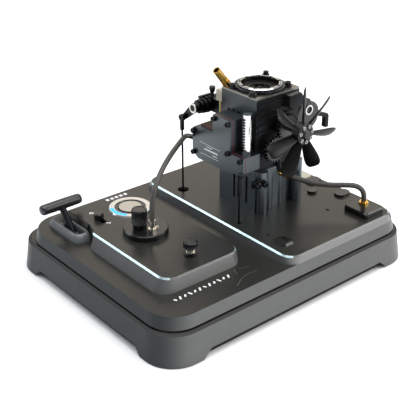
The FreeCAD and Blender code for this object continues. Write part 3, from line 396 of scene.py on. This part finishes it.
black_anodised = metal("black_anodised_aluminium", "#26272a", "#303236", (0.28, 0.40))[0]
gunmetal = metal("gunmetal_anodised_aluminium", "#575c5f", "#646a6d", (0.30, 0.40))[0]
stand_metal = metal("dark_blue_grey_anodised_aluminium", "#6b7278", "#767e84", (0.30, 0.42))[0]
bright_alloy = metal("bead_blasted_aluminium", "#7c7a74", "#8a8882", (0.30, 0.42))[0]
polished = metal("polished_aluminium", "#d9dadb", "#e8e9ea", (0.08, 0.16))[0]
nickel = metal("nickelled_steel", "#b9b4a9", "#cbc6ba", (0.16, 0.26))[0]
brass = metal("turned_brass", "#d6a54a", "#e6bd66", (0.2, 0.28), grain_height_mm=0.002)[0]
satin_silver = metal("satin_silver_cap", "#b9b6b0", "#c6c3bd", (0.3, 0.4))[0]
pulley_metal = metal("blackened_steel_gear", "#4a4a4b", "#5b5b5c", (0.3, 0.42))[0]

# %% [markdown]
# ## Plastics and rubber
# The fan is moulded nylon with a little glass in it, so it is black with a soft sheen. Knobs and
# the filler cap are glossier moulded ABS. Rubber is a dull warm black, and its grain is coarser.
# The terminal plate and the intake spacer are machined from cream phenolic board.

# %% Plastics and rubber


def dielectric(name, dark, light, roughness, size_mm, grain_mm, grain_height_mm, **sockets):
    parts = new_finish(name, **sockets)
    mottle(parts, dark, light, size_mm, roughness, grain_mm, grain_height_mm)
    return parts


fan_nylon = dielectric("glass_filled_nylon", "#040405", "#080809", (0.30, 0.40), 8.0, 0.6, 0.02, IOR=1.3)[0]
knob_abs = dielectric("gloss_moulded_abs", "#0e0e0f", "#161617", (0.22, 0.30), 5.0, 0.5, 0.01, IOR=1.46)[0]
grip_abs = dielectric("satin_moulded_abs", "#16161b", "#1e1e24", (0.24, 0.32), 6.0, 0.6, 0.02, IOR=1.54)[0]
rubber = dielectric("moulded_rubber", "#0d0d0d", "#161615", (0.60, 0.75), 4.0, 0.6, 0.05, IOR=1.52)[0]
phenolic = dielectric("phenolic_board", "#a9a595", "#bdb9a8", (0.50, 0.62), 3.0, 0.4, 0.02, IOR=1.55)[0]
paper_red = dielectric("red_gasket_paper", "#5c222a", "#6b2a34", (0.65, 0.80), 2.0, 0.3, 0.02, IOR=1.5)[0]
# A dark brown laid on the timing case's step as painted shade.
shade_brown = dielectric("brown_painted_shade", "#34271d", "#443427", (0.5, 0.62), 3.0, 0.4, 0.02, IOR=1.54)[0]
white_ink = dielectric("white_screen_ink", "#d4d6d8", "#e2e3e4", (0.45, 0.55), 3.0, 0.3, 0.004, IOR=1.5)[0]
print("finishes", len(bpy.data.materials))

# %% [markdown]
# ## Nodes that carry two finishes
# Some CAD nodes hold several small solids that are made of different things, or a face with a
# finish of its own. Their places are known, so the finish changes with the position. The gasket
# against the block is red and the outer one pale green, and the fan's hub carries bright screw
# heads. The collar has a black land and its upright walls get painted shade, the starter's bracket
# and the throttle arm a bright ring each, the starter's can a black terminal and painted shade in
# its opening, and the elbow a black nut.

# %% Two-finish materials
# In metres and beyond the object on every side, for a limit that isn't wanted.
FAR = 1.0
COLLAR_AXIS = (49.5, -1.5, 0.0)
FAN_CENTRE = Vector((55.0, -49.0, 122.0))
ARM_HUB = (9.0, 37.5, 130.5)
# The can's black terminal, and painted shade in its opening: centre, radius, and the Y up to which the dark reaches.
CAN_TERMINAL_AND_HOLE_SHADE = [((89.3, 0.0, 133.4), 3.3, -8.05), ((92.0, 0.0, 125.0), 3.35, -19.9)]

gasket_parts = dielectric("gasket_papers", "#742731", "#85303f", (0.65, 0.80), 2.0, 0.3, 0.02, IOR=1.5)
tree = gasket_parts[1]
outer_gasket = between(tree, along(tree, "Y"), 21.4 * MM, FAR)
recolour(*gasket_parts[1:], outer_gasket, "#a9b06a")

hub_parts = dielectric("nylon_hub_with_steel_screws", "#0e0e0f", "#161617", (0.38, 0.48), 8.0, 0.6, 0.02, IOR=1.53)
tree = hub_parts[1]
screws = both(tree, between(tree, from_axis(tree, FAN_CENTRE, (1, 0, 1)), 5.25 * MM, 9.5 * MM),
              between(tree, along(tree, "Y"), -FAR, -53.02 * MM))
recolour(*hub_parts[1:], screws, "#a2a2a2", 0.3, 1.0)

collar_parts = metal("polished_collar_with_black_land", "#c9cacb", "#dcdddd", (0.12, 0.2))
tree = collar_parts[1]
land = between(tree, from_axis(tree, COLLAR_AXIS, (1, 1, 0)), 17.5 * MM, 18.2 * MM)
recolour(*collar_parts[1:], land, "#1a1a1b", 0.4, 0.6)
# Every upright face of the trim, the bore's wall among them, is painted near black: painted shade.
upright_wall_shade = between(tree, facing(tree), -0.3, 0.3)
recolour(*collar_parts[1:], upright_wall_shade, "#151516", 0.5, 0.4)

bracket_parts = metal("black_bracket_with_bright_ring", "#1f2022", "#292b2e", (0.32, 0.42))
tree = bracket_parts[1]
end_ring = between(tree, along(tree, "Y"), -FAR, -20.05 * MM)
recolour(*bracket_parts[1:], end_ring, "#c9c9c9", 0.22, 1.0)

can_parts = metal("drawn_steel_can_with_black_terminal", "#444546", "#505152", (0.34, 0.44))
tree = can_parts[1]
# The terminal is black; the dark disc in the opening is painted shade.
for place, radius, last_y in CAN_TERMINAL_AND_HOLE_SHADE:
    terminal_and_hole_shade = both(tree, between(tree, from_axis(tree, place, (1, 0, 1)), -FAR, radius * MM),
                      between(tree, along(tree, "Y"), -FAR, last_y * MM))
    recolour(*can_parts[1:], terminal_and_hole_shade, "#121213", 0.5, 0.0)

arm_parts = metal("black_arm_with_bright_ring", "#26272a", "#303236", (0.28, 0.40))
tree = arm_parts[1]
hub_ring = both(tree, between(tree, from_axis(tree, ARM_HUB, (0, 1, 1)), 2.9 * MM, 4.55 * MM),
                between(tree, along(tree, "X"), -FAR, 7.42 * MM))
recolour(*arm_parts[1:], hub_ring, "#cbc8c2", 0.22, 1.0)

fitting_parts = metal("turned_brass_with_black_nut", "#d6a954", "#eac577", (0.14, 0.24))
tree = fitting_parts[1]
black_nut = both(tree, between(tree, along(tree, "Z"), 80.5 * MM, 94.0 * MM),
                 between(tree, along(tree, "Y"), -FAR, 0.0))
recolour(*fitting_parts[1:], black_nut, "#202123", 0.4, 0.8)

# %% [markdown]
# ## The start button's lit ring
# The start button sits in a dished, polished ring, and a light guide under it shows as two blue
# arcs, a long one towards the lever and a short one on the other side. They are set by angle, in a
# band whose centre lies a little off the button's. The rest of the ring is bright metal.

# %% Ring finishes
START_CENTRE = Vector((-57.0, 46.9, 51.0))
BAND_CENTRE = START_CENTRE + Vector((2.0, 0.5, 0.0))
BAND_INNER, BAND_OUTER = 16.4, 19.6
BLUE, GLOW_BLUE, GLOW_STRENGTH = "#1492d6", "#19aef0", 0.75


def ring_finish(name, base, metallic, roughness, arcs):
    """A turned ring whose colour changes over arcs: (from, to, colour, roughness, metallic, lit)."""
    material, tree, shader = parts = new_finish(name, Metallic=metallic)
    mottle(parts, *base, 3.0, roughness, 0.3, 0.003)
    dx = add_node(tree, "ShaderNodeMath", {0: along(tree, "X"), 1: START_CENTRE.x * MM}, operation="SUBTRACT")
    dy = add_node(tree, "ShaderNodeMath", {0: along(tree, "Y"), 1: START_CENTRE.y * MM}, operation="SUBTRACT")
    angle = add_node(tree, "ShaderNodeMath", {0: dy.outputs[0], 1: dx.outputs[0]}, operation="ARCTAN2").outputs[0]
    glow = None
    shifted = from_axis(tree, BAND_CENTRE, (1, 1, 0))
    for low, high, colour, rough, metal_part, lit in arcs:
        inside = between(tree, angle, math.radians(low), math.radians(high))
        if lit:
            inside = both(tree, inside, between(tree, shifted, BAND_INNER * MM, BAND_OUTER * MM))
        recolour(tree, shader, inside, colour, rough, metal_part)
        if lit and glow is None:
            glow = inside
        elif lit:
            glow = add_node(tree, "ShaderNodeMath", {0: glow, 1: inside}, operation="ADD").outputs[0]
    if glow is not None:
        strength = add_node(tree, "ShaderNodeMath", {0: glow, 1: GLOW_STRENGTH}, operation="MULTIPLY")
        shader.inputs["Emission Color"].default_value = linear(GLOW_BLUE)
        tree.links.new(strength.outputs[0], shader.inputs["Emission Strength"])
    return material


dished_ring = ring_finish("polished_ring_with_light_arcs", ("#b4b5b6", "#c6c7c8"), 1.0, (0.16, 0.24), [
    (-180.0, -136.0, BLUE, 0.35, 0.0, True), (150.0, 180.0, BLUE, 0.35, 0.0, True),
    (-58.0, -36.0, BLUE, 0.35, 0.0, True)])
light_guide = ring_finish("smoked_light_guide", ("#101214", "#17191b"), 0.0, (0.18, 0.26), [
    (-180.0, -140.0, "#0c3f5c", 0.3, 0.0, False)])

# %% [markdown]
# ## Dressing the CAD parts
# A CAD part whose shape is already right only needs its finish. The table below is the paint
# schedule: which finish each machined or moulded part gets.

# %% Paint schedule
SCHEDULE = {
    base_shell: ["base_tray", "tier_shell"],
    deck_shell: ["control_deck", "engine_deck"],
    rubber: ["rubber_feet", "seam_gasket"],
    knob_abs: ["selector_knob", "return_block", "deck_pads", "primer_guide", "tank_flange"],
    fan_nylon: ["bottom_plate"],
    black_anodised: ["throttle_lever", "glow_plug", "filler_neck", "side_cover_bolts", "collar", "collar_bolts",
                     "carb_body", "throttle_link", "drain_pipe", "lever_pivot"],
    gunmetal: ["side_cover", "timing_case"],
    stand_metal: ["engine_stand"],
    bright_alloy: ["head_plate", "fuel_tank", "piston", "starter_battery"],
    satin_silver: ["start_button"],
    can_parts[0]: ["starter_motor"],
    bracket_parts[0]: ["starter_bracket"],
    polished: ["coolant_column"],
    collar_parts[0]: ["collar_trim"],
    arm_parts[0]: ["throttle_arm"],
    nickel: ["fuel_fitting", "cylinder_liner", "connecting_rod"],
    brass: ["exhaust_pipe"],
    fitting_parts[0]: ["brass_fittings"],
    pulley_metal: ["timing_gear", "fan_gear"],
    phenolic: ["terminal_plate", "intake_spacer"],
    paper_red: ["side_gasket"],
    gasket_parts[0]: ["carb_gaskets"],
    hub_parts[0]: ["fan_hub"],
    dished_ring: ["start_bezel"],
    light_guide: ["start_light_ring"],
}
for finish, names in SCHEDULE.items():
    for name in names:
        nodes[name].data.materials.clear()
        nodes[name].data.materials.append(finish)
print("dressed", sum(len(names) for names in SCHEDULE.values()), "CAD parts")

# %% [markdown]
# ## The cylinder block
# The block is one casting, and its left flank looks at the pale room. Its front lies in the fan's
# shade, so faces that point forward are painted darker, as painted shade. Facing decides the colour
# here too. The level face inside the collar is painted near black, as painted shade in the hollow.

# %% Cylinder block and crankcase
block_parts = metal("dyed_block_casting", "#434749", "#4f5355", (0.32, 0.42))
block_tree = block_parts[1]
front = facing(block_tree, "Y")
# Faces that point forward are painted darker: painted shade from the fan in front of them.
painted_shade_front = add_node(block_tree, "ShaderNodeMath", {0: front, 1: -0.5}, operation="LESS_THAN").outputs[0]
recolour(block_tree, block_parts[2], painted_shade_front, "#292a2c", 0.4, 0.9)
# The level face inside the collar's hollow is painted near black: painted shade.
collar_floor_shade = both(block_tree, between(block_tree, facing(block_tree), 0.9, 1.1),
                    between(block_tree, from_axis(block_tree, COLLAR_AXIS, (1, 1, 0)), -FAR, 17.7 * MM))
recolour(block_tree, block_parts[2], collar_floor_shade, "#0e0e0f", 0.8, 0.0)
for name in ("cylinder_block", "crankcase"):
    nodes[name].data.materials.clear()
    nodes[name].data.materials.append(block_parts[0])

# %% [markdown]
# ## The lever's boot
# The throttle lever comes up through a slot in a soft-edged boot, moulded in grey plastic. A
# moulding like this is a shallow dome with a rolled rim, so it is built from rounded outlines that
# step up, in and then down into the slot. A dark wedge fills the step between it and the deck.

# %% Lever boot
boot_parts = new_finish("moulded_grey_boot", Metallic=0.3)
mottle(boot_parts, "#5c6062", "#676b6d", 5.0, (0.36, 0.46), 0.4, 0.012)
boot_up = facing(boot_parts[1])
recolour(*boot_parts[1:], between(boot_parts[1], boot_up, 0.97, 1.1), "#24241f", 0.34, 0.0)
deck_black = dielectric("black_satin_lacquer", "#1d1d1a", "#232320", (0.3, 0.38), 9.0, 0.35, 0.012, IOR=1.45)[0]


def rounded_outline(x0, x1, y0, y1, z, r, corner_steps=8):
    """Points round a rectangle with round corners, always the same number and in the same order."""
    points = []
    for cx, cy, start in ((x1 - r, y1 - r, 0), (x0 + r, y1 - r, 90), (x0 + r, y0 + r, 180), (x1 - r, y0 + r, 270)):
        for n in range(corner_steps + 1):
            angle = math.radians(start + 90 * n / corner_steps)
            points.append((cx + r * math.cos(angle), cy + r * math.sin(angle), z))
    return points


BOOT_RINGS = [(-119.4, -101.9, 36.5, 86.0, 39.55, 7.5), (-119.2, -102.1, 36.9, 85.8, 41.5, 7.4),
              (-118.0, -102.8, 38.6, 84.4, 44.4, 6.6), (-117.0, -103.6, 40.0, 83.0, 45.9, 5.8),
              (-116.2, -104.2, 41.0, 81.8, 46.4, 5.2), (-115.4, -104.8, 41.9, 80.6, 46.4, 4.6),
              (-114.6, -105.6, 42.9, 70.6, 45.6, 3.6), (-114.0, -106.0, 43.5, 67.5, 44.4, 2.6),
              (-114.0, -106.0, 43.5, 67.5, 39.6, 2.6)]
boot_points = [point for ring in BOOT_RINGS for point in rounded_outline(*ring)]
around_boot = len(boot_points) // len(BOOT_RINGS)
boot_faces = []
for row in range(len(BOOT_RINGS) - 1):
    for n in range(around_boot):
        a, b = row * around_boot + n, row * around_boot + (n + 1) % around_boot
        boot_faces.append((a, b, b + around_boot, a + around_boot))
boot = mesh_object("lever_boot", boot_points, boot_faces, 50.0)
adopt(boot, boot_parts[0], "frame", "deck_lacquer", "lever_bezel")
WEDGE = [(-104.6, 39.6), (-101.6, 39.6), (-101.6, 50.9), (-102.4, 50.6), (-104.6, 45.6)]
wedge_points = [(x, y, z) for y in (44.4, 77.6) for x, z in WEDGE]
wedge_faces = [(0, 1, 2, 3, 4), (9, 8, 7, 6, 5)] + [(n, (n + 1) % 5, (n + 1) % 5 + 5, n + 5) for n in range(5)]
adopt(mesh_object("boot_wedge", wedge_points, wedge_faces), deck_black, "frame", "deck_lacquer")
print("boot", len(BOOT_RINGS), "outlines")

# %% [markdown]
# ## The throttle's grip
# The grip is a turned bar that swells a little in the middle and is rounded at both ends, so that
# a finger and thumb can rest on it. A lathe profile round the bar's own axis gives the shape.

# %% Throttle grip
# Each row is a share of the grip's radius and of half its length.
grip_low, grip_high = (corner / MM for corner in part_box("throttle_grip"))
grip_centre = (grip_low + grip_high) / 2
grip_half = (grip_high.x - grip_low.x) / 2
grip_r = (grip_high.z - grip_low.z) / 2
GRIP_PROFILE = [(0.0, -1.0), (0.42, -0.995), (0.70, -0.975), (0.88, -0.94), (0.95, -0.88), (0.965, -0.75),
                (0.985, -0.4), (1.0, 0.0), (0.985, 0.4), (0.965, 0.75), (0.95, 0.88), (0.88, 0.94), (0.70, 0.975),
                (0.42, 0.995), (0.0, 1.0)]
grip_profile = [(r * grip_r, h * grip_half) for r, h in GRIP_PROFILE]
grip = turned("throttle_t_grip", grip_profile, grip_centre, (1, 0, 0), 40)
adopt(grip, grip_abs, "throttle_lever", "black_plastic", "throttle_grip")
print("grip", round(2 * grip_half, 1), "mm long")

# %% [markdown]
# ## Knurled caps
# The filler cap and the primer button are turned with fine upright flutes so that wet fingers can
# hold them. The lathe builder presses a wave into the outer radius while it spins the profile.

# %% Filler cap and primer button
cap_low, cap_high = (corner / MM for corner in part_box("filler_cap"))
cap_r, cap_height = (cap_high.x - cap_low.x) / 2, cap_high.z - cap_low.z
cap_centre = ((cap_low.x + cap_high.x) / 2, (cap_low.y + cap_high.y) / 2, cap_low.z)
cap_profile = [(4.8, cap_height - 3.0), (4.8, 0.0), (cap_r - 0.4, 0.0), (cap_r, 0.4), (cap_r, 0.7),
               (cap_r, 1.0, 1), (cap_r, cap_height - 1.4, 1), (cap_r, cap_height - 1.1),
               (cap_r - 0.1, cap_height - 0.5), (cap_r - 0.6, cap_height), (cap_r - 1.6, cap_height),
               (cap_r - 1.8, cap_height - 0.3), (0.0, cap_height - 0.3)]
filler = turned("knurled_filler_cap", cap_profile, cap_centre, (0, 0, 1), 192, 32, 0.35)
adopt(filler, knob_abs, "filler_cap", "black_plastic", "filler_cap")

primer_low, primer_high = (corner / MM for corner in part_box("primer_cap"))
primer_r = (primer_high.x - primer_low.x) / 2
top_z, primer_xy = primer_high.z, ((primer_low.x + primer_high.x) / 2, (primer_low.y + primer_high.y) / 2)
primer_profile = [(0.0, -18.0), (2.15, -18.0), (2.2, -5.6), (primer_r - 0.4, -5.6), (primer_r, -5.2),
                  (primer_r, -4.9), (primer_r, -4.7, 1), (primer_r, -1.3, 1), (primer_r, -1.0),
                  (primer_r - 0.2, -0.4), (primer_r - 0.7, 0.0), (primer_r - 1.8, 0.0), (primer_r - 2.0, -0.2),
                  (0.0, -0.2)]
primer = turned("primer_button", primer_profile, (*primer_xy, top_z), (0, 0, 1), 160, 32, 0.3)
adopt(primer, knob_abs, "primer_button", "black_plastic", "primer_cap")
print("caps", round(2 * cap_r, 1), "and", round(2 * primer_r, 1), "mm across")

# %% [markdown]
# ## Springs
# Both buttons return on a compression spring wound from music wire. A helix needs only its radius,
# its turns and its two ends, and it is turned to a mesh of its own.

# %% Springs
COIL_POINTS = 12


def coil(name, centre_xy, radius, wire_r, z0, z1, turns):
    """A helix of round wire that just fits between two heights."""
    steps = turns * COIL_POINTS
    points = []
    for n in range(steps + 1):
        angle = 2 * math.pi * n / COIL_POINTS
        points.append((centre_xy[0] + radius * math.cos(angle), centre_xy[1] + radius * math.sin(angle),
                       z0 + wire_r + (z1 - z0 - 2 * wire_r) * n / steps))
    return as_mesh(wire(name, points, wire_r))


primer_coil = coil("primer_return_spring", primer_xy, 3.7, 0.42, 52.2, 57.3, 4)
adopt(primer_coil, nickel, "frame", "bright_steel", "primer_spring")
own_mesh(primer_coil)
start_coil = coil("start_return_spring", (START_CENTRE.x, START_CENTRE.y), 5.0, 0.4, 41.8, 49.3, 5)
adopt(start_coil, nickel, "frame", "bright_steel", "start_spring")
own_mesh(start_coil)

# %% [markdown]
# ## The fan
# Seven blades are moulded with a twist: steep at the root, flatter at the tip, so that each part
# of the blade bites the air at a like angle. The section is cupped and the tip is rounded. Each
# blade is built from cross sections along its length, then thickened and smoothed.

# %% Fan blades
BLADES = 7
FIRST_BLADE = 90.0
# Distance from the axis and chord in millimetres, pitch in degrees, and cup in millimetres.
BLADE_SECTIONS = [(8.6, 7.4, 54.0, 0.3), (12.0, 8.4, 52.0, 0.5), (18.0, 10.4, 48.0, 0.8), (25.0, 12.6, 44.0, 1.1),
                  (31.0, 13.8, 41.0, 1.2), (35.5, 13.2, 40.0, 1.0), (38.0, 10.8, 39.0, 0.7), (39.3, 7.0, 39.0, 0.3)]
ACROSS = 6
BLADE_THICKNESS = 1.3
blade_points, blade_faces = [], []
for n in range(BLADES):
    turn = math.radians(FIRST_BLADE + 360.0 / BLADES * n)
    radial = Vector((math.cos(turn), 0, math.sin(turn)))
    around = Vector((-math.sin(turn), 0, math.cos(turn)))
    first = len(blade_points)
    for r, chord, pitch, cup in BLADE_SECTIONS:
        p = math.radians(pitch)
        chordwise = around * math.cos(p) - Vector((0, math.sin(p), 0))
        outward = radial.cross(chordwise)
        for m in range(ACROSS + 1):
            s = 2 * m / ACROSS - 1
            blade_points.append(FAN_CENTRE + radial * r + chordwise * (s * chord / 2) + outward * (cup * (1 - s * s)))
    for row in range(len(BLADE_SECTIONS) - 1):
        for m in range(ACROSS):
            a = first + row * (ACROSS + 1) + m
            blade_faces.append((a, a + 1, a + ACROSS + 2, a + ACROSS + 1))
fan = mesh_object("twisted_fan_blades", blade_points, blade_faces, 80.0)
bpy.context.scene.collection.objects.link(fan)
thick = fan.modifiers.new("thickness", "SOLIDIFY")
thick.thickness = BLADE_THICKNESS * MM
thick.offset = 0.0
smooth = fan.modifiers.new("smooth", "SUBSURF")
smooth.levels = smooth.render_levels = 2
adopt(fan, fan_nylon, "fan", "fan_plastic", "fan_blades")
print("fan", BLADES, "blades")

# %% [markdown]
# ## Printed marks
# The deck carries white screen-printed marks: a row of plain bars beside the start button, and a
# small ring, an arc and a crossed bar beside the selector. More bars run along the front of the
# tier, with three thin bright strokes after them. They are a hair proud of the lacquer, as ink is.
# Each mark is a flat strip with its own width.

# %% Printed lines beside the controls
INK = 0.08


def printed(name, points_mm, width_mm, normal="z"):
    """A flat strip of ink, as wide as it is told, along straight runs on a level or upright face."""
    lift = {"z": Vector((0, 0, 1)), "x": Vector((-1, 0, 0))}[normal]
    pts = [Vector(p) for p in points_mm]
    corners, faces = [], []
    for n, point in enumerate(pts):
        ahead_of = pts[min(n + 1, len(pts) - 1)] - pts[max(n - 1, 0)]
        side = lift.cross(ahead_of).normalized() * width_mm / 2
        corners += [point + side + lift * INK, point - side + lift * INK]
    for n in range(len(pts) - 1):
        faces.append((2 * n, 2 * n + 1, 2 * n + 3, 2 * n + 2))
    return mesh_object(name, corners, faces)


def arc_points(centre, radius, start, end, z, count=14):
    """Points along an arc on a level face, from one angle to another in degrees."""
    steps = [math.radians(start + (end - start) * n / (count - 1)) for n in range(count)]
    return [(centre[0] + radius * math.cos(a), centre[1] + radius * math.sin(a), z) for a in steps]


CONTROL_TOP, TIER_TOP = 51.0, 39.5
marks = {
    "selector_dot": arc_points((-89.1, 59.6), 1.5, 0, 360, CONTROL_TOP, 18),
    "selector_arc": arc_points((-84.6, 54.8), 2.6, -70, 130, CONTROL_TOP),
    "selector_bar": [(-89.6, 35.6, CONTROL_TOP), (-85.6, 35.0, CONTROL_TOP)],
    "selector_tick": [(-88.6, 37.4, CONTROL_TOP), (-87.4, 33.4, CONTROL_TOP)],
}
for name, points in marks.items():
    adopt(printed(name, points, 0.9), white_ink, "frame", "chrome_trim")
START_BARS, START_BAR_X, START_BAR_Y, START_BAR_STEP = 5, -64.2, 71.4, 4.8
for n in range(START_BARS):
    x = START_BAR_X + START_BAR_STEP * n
    ends = [(x - 1.5, START_BAR_Y, CONTROL_TOP), (x + 1.5, START_BAR_Y, CONTROL_TOP)]
    adopt(printed(f"start_bar_{n}", ends, 3.6), white_ink, "frame", "chrome_trim")

# %% Plain bars and strokes on the tier
BAR_Y, BAR_START, BAR_END, BARS = -80.6, -107.5, -54.5, 12
bar_step = (BAR_END - BAR_START) / (BARS - 1)
for n in range(BARS):
    x = BAR_START + n * bar_step
    lean = 0.9 if n % 3 else -0.6
    tall = 1.9 if n % 2 else 1.3
    ends = [(x - lean, BAR_Y - tall, TIER_TOP), (x + lean, BAR_Y + tall, TIER_TOP)]
    adopt(printed(f"tier_bar_{n}", ends, 1.5), white_ink, "frame", "chrome_trim")
TIER_LINES = {
    "tier_line_long": [(-59.0, -96.0), (-50.0, -90.6), (-41.0, -88.0), (-30.0, -88.6)],
    "tier_line_short": [(-47.6, -83.6), (-44.4, -76.0)],
    "tier_line_top": [(-41.0, -77.6), (-31.0, -80.6)],
}
for name, pairs in TIER_LINES.items():
    adopt(printed(name, [(x, y, TIER_TOP) for x, y in pairs], 0.9), bright_alloy, "frame", "chrome_trim")
print("printed", BARS + len(TIER_LINES), "marks on the tier")

# %% [markdown]
# ## The side cover's plate mark
# The cover carries a plain print, two lines with three short bars between them, where a maker
# would put a name.

# %% Cover print
COVER_FACE = 6.0
COVER_LINES = {"cover_line_lower": [(27.0, 93.0), (2.0, 92.6)], "cover_line_upper": [(27.0, 103.2), (0.0, 102.6)]}
# Both ends in Y, the height and the width of each bar.
COVER_BARS = [(21.0, 3.0, 98.2, 1.7), (18.4, 10.0, 101.0, 0.8), (10.0, 3.6, 95.0, 0.9)]


def on_cover(pairs):
    """Places on the cover's flat face from their Y and height."""
    return [(COVER_FACE, y, z) for y, z in pairs]


for name, pairs in COVER_LINES.items():
    adopt(printed(name, on_cover(pairs), 0.5, "x"), white_ink, "frame", "chrome_trim")
for n, (y0, y1, z, width) in enumerate(COVER_BARS):
    adopt(printed(f"cover_bar_{n}", on_cover([(y0, z), (y1, z)]), width, "x"), white_ink, "frame", "chrome_trim")

# %% [markdown]
# ## Small hardware round the stand
# Two knurled bolts clamp the engine's foot at the front of the stand, on a small black bar.

# %% Clamp bolts
clamp_bar = rounded_box("foot_clamp_bar", (17.5, -30.8, 74.0), (34.0, -27.6, 80.0), 0.6)
adopt(clamp_bar, black_anodised, "frame", "black_anodised")
BOLT_PROFILE = [(0.0, 0.0), (1.2, 0.0), (1.3, 0.8), (2.0, 1.0), (3.0, 1.3), (3.0, 1.6, 1), (3.0, 4.2, 1),
                (2.9, 4.6), (2.4, 5.0), (1.4, 5.0), (1.3, 4.2), (0.0, 4.2)]
BOLT_PLACES = [(20.4, 77.6), (28.4, 76.6)]
for n, (x, z) in enumerate(BOLT_PLACES):
    bolt = turned(f"foot_clamp_bolt_{n}", BOLT_PROFILE, (x, -30.4, z), (0, -1, 0), 72, 18, 0.3)
    adopt(bolt, black_anodised, "frame", "black_anodised")

# %% [markdown]
# ## Painted shade on the case's step
# The hollow on the step of the timing case lies in shade, so a thin dark brown block with barely
# rounded edges is laid over the step as painted shade.

# %% Shade block on the step
# A thin dark block over the step's hollow: painted shade.
step_shade_block = rounded_box("case_step_shade_block", (9.8, 11.0, 116.4), (24.6, 30.0, 118.0), 0.3)
adopt(step_shade_block, shade_brown, "frame", "cream_resin")

# %% [markdown]
# ## The column's rack
# The bright column beside the cover has a toothed strip down one side. Each tooth is a small
# rounded block.

# %% Rack
TEETH, FIRST_TOOTH_Z, TOOTH_PITCH, TOOTH_HEIGHT = 12, 107.4, 2.5, 1.3
for n in range(TEETH):
    z = FIRST_TOOTH_Z + TOOTH_PITCH * n
    tooth = rounded_box(f"rack_tooth_{n}", (13.4, -22.4, z), (15.0, -20.2, z + TOOTH_HEIGHT), 0.2)
    adopt(tooth, black_anodised, "frame", "black_anodised")
print("rack of", TEETH, "teeth")

# %% [markdown]
# ## Table and light
# A pale table and soft light from large sources suit dark metal, because such metal shows mostly
# what it reflects. A broad lamp to the right front lights the near faces, a cooler one at the back
# left draws the bright line along the cut edges, and a warm, weak one behind gives the tops their
# slow gradient.

# %% Table
table_mesh = bpy.data.meshes.new("table")
table_mesh.from_pydata([(-6, -6, 0), (6, -6, 0), (6, 6, 0), (-6, 6, 0)], [], [(0, 1, 2, 3)])
table = bpy.data.objects.new("table", table_mesh)
bpy.context.scene.collection.objects.link(table)
paper_parts = new_finish("matt_white_paper", IOR=1.45)
mottle(paper_parts, "#f4f4f4", "#f8f8f8", 400.0, (0.85, 0.9), 2.0, 0.02)
table_mesh.materials.append(paper_parts[0])

# %% Lights
ROOM_STRENGTH = 0.42


def lamp(name, place, aim, size, energy, colour):
    """A soft rectangular lamp aimed at a point; places are in metres and energy in watts."""
    data = bpy.data.lights.new(name, "AREA")
    data.shape = "RECTANGLE"
    data.size, data.size_y = size
    data.energy = energy
    data.color = linear(colour)[:3]
    obj = bpy.data.objects.new(name, data)
    obj.location = place
    obj.rotation_euler = (Vector(aim) - Vector(place)).to_track_quat("-Z", "Y").to_euler()
    bpy.context.scene.collection.objects.link(obj)


CENTRE = (0.0, 0.0, 0.08)
lamp("overhead", (0.1, -0.1, 2.2), CENTRE, (2.4, 2.4), 60.0, "#ffffff")
lamp("front_right", (1.3, -1.3, 0.9), CENTRE, (1.6, 0.9), 26.0, "#fffdf8")
lamp("edge_line", (-1.0, 1.5, 1.28), CENTRE, (1.3, 0.7), 12.0, "#eef6fb")
lamp("behind", (1.9, 2.2, 1.6), CENTRE, (2.0, 0.9), 8.0, "#fff0dc")
world = bpy.data.worlds.new("studio")
world.use_nodes = True
world.node_tree.nodes["Background"].inputs["Color"].default_value = linear("#f2f4f6")
world.node_tree.nodes["Background"].inputs["Strength"].default_value = ROOM_STRENGTH
bpy.context.scene.world = world
bpy.context.scene.view_settings.view_transform = "Standard"
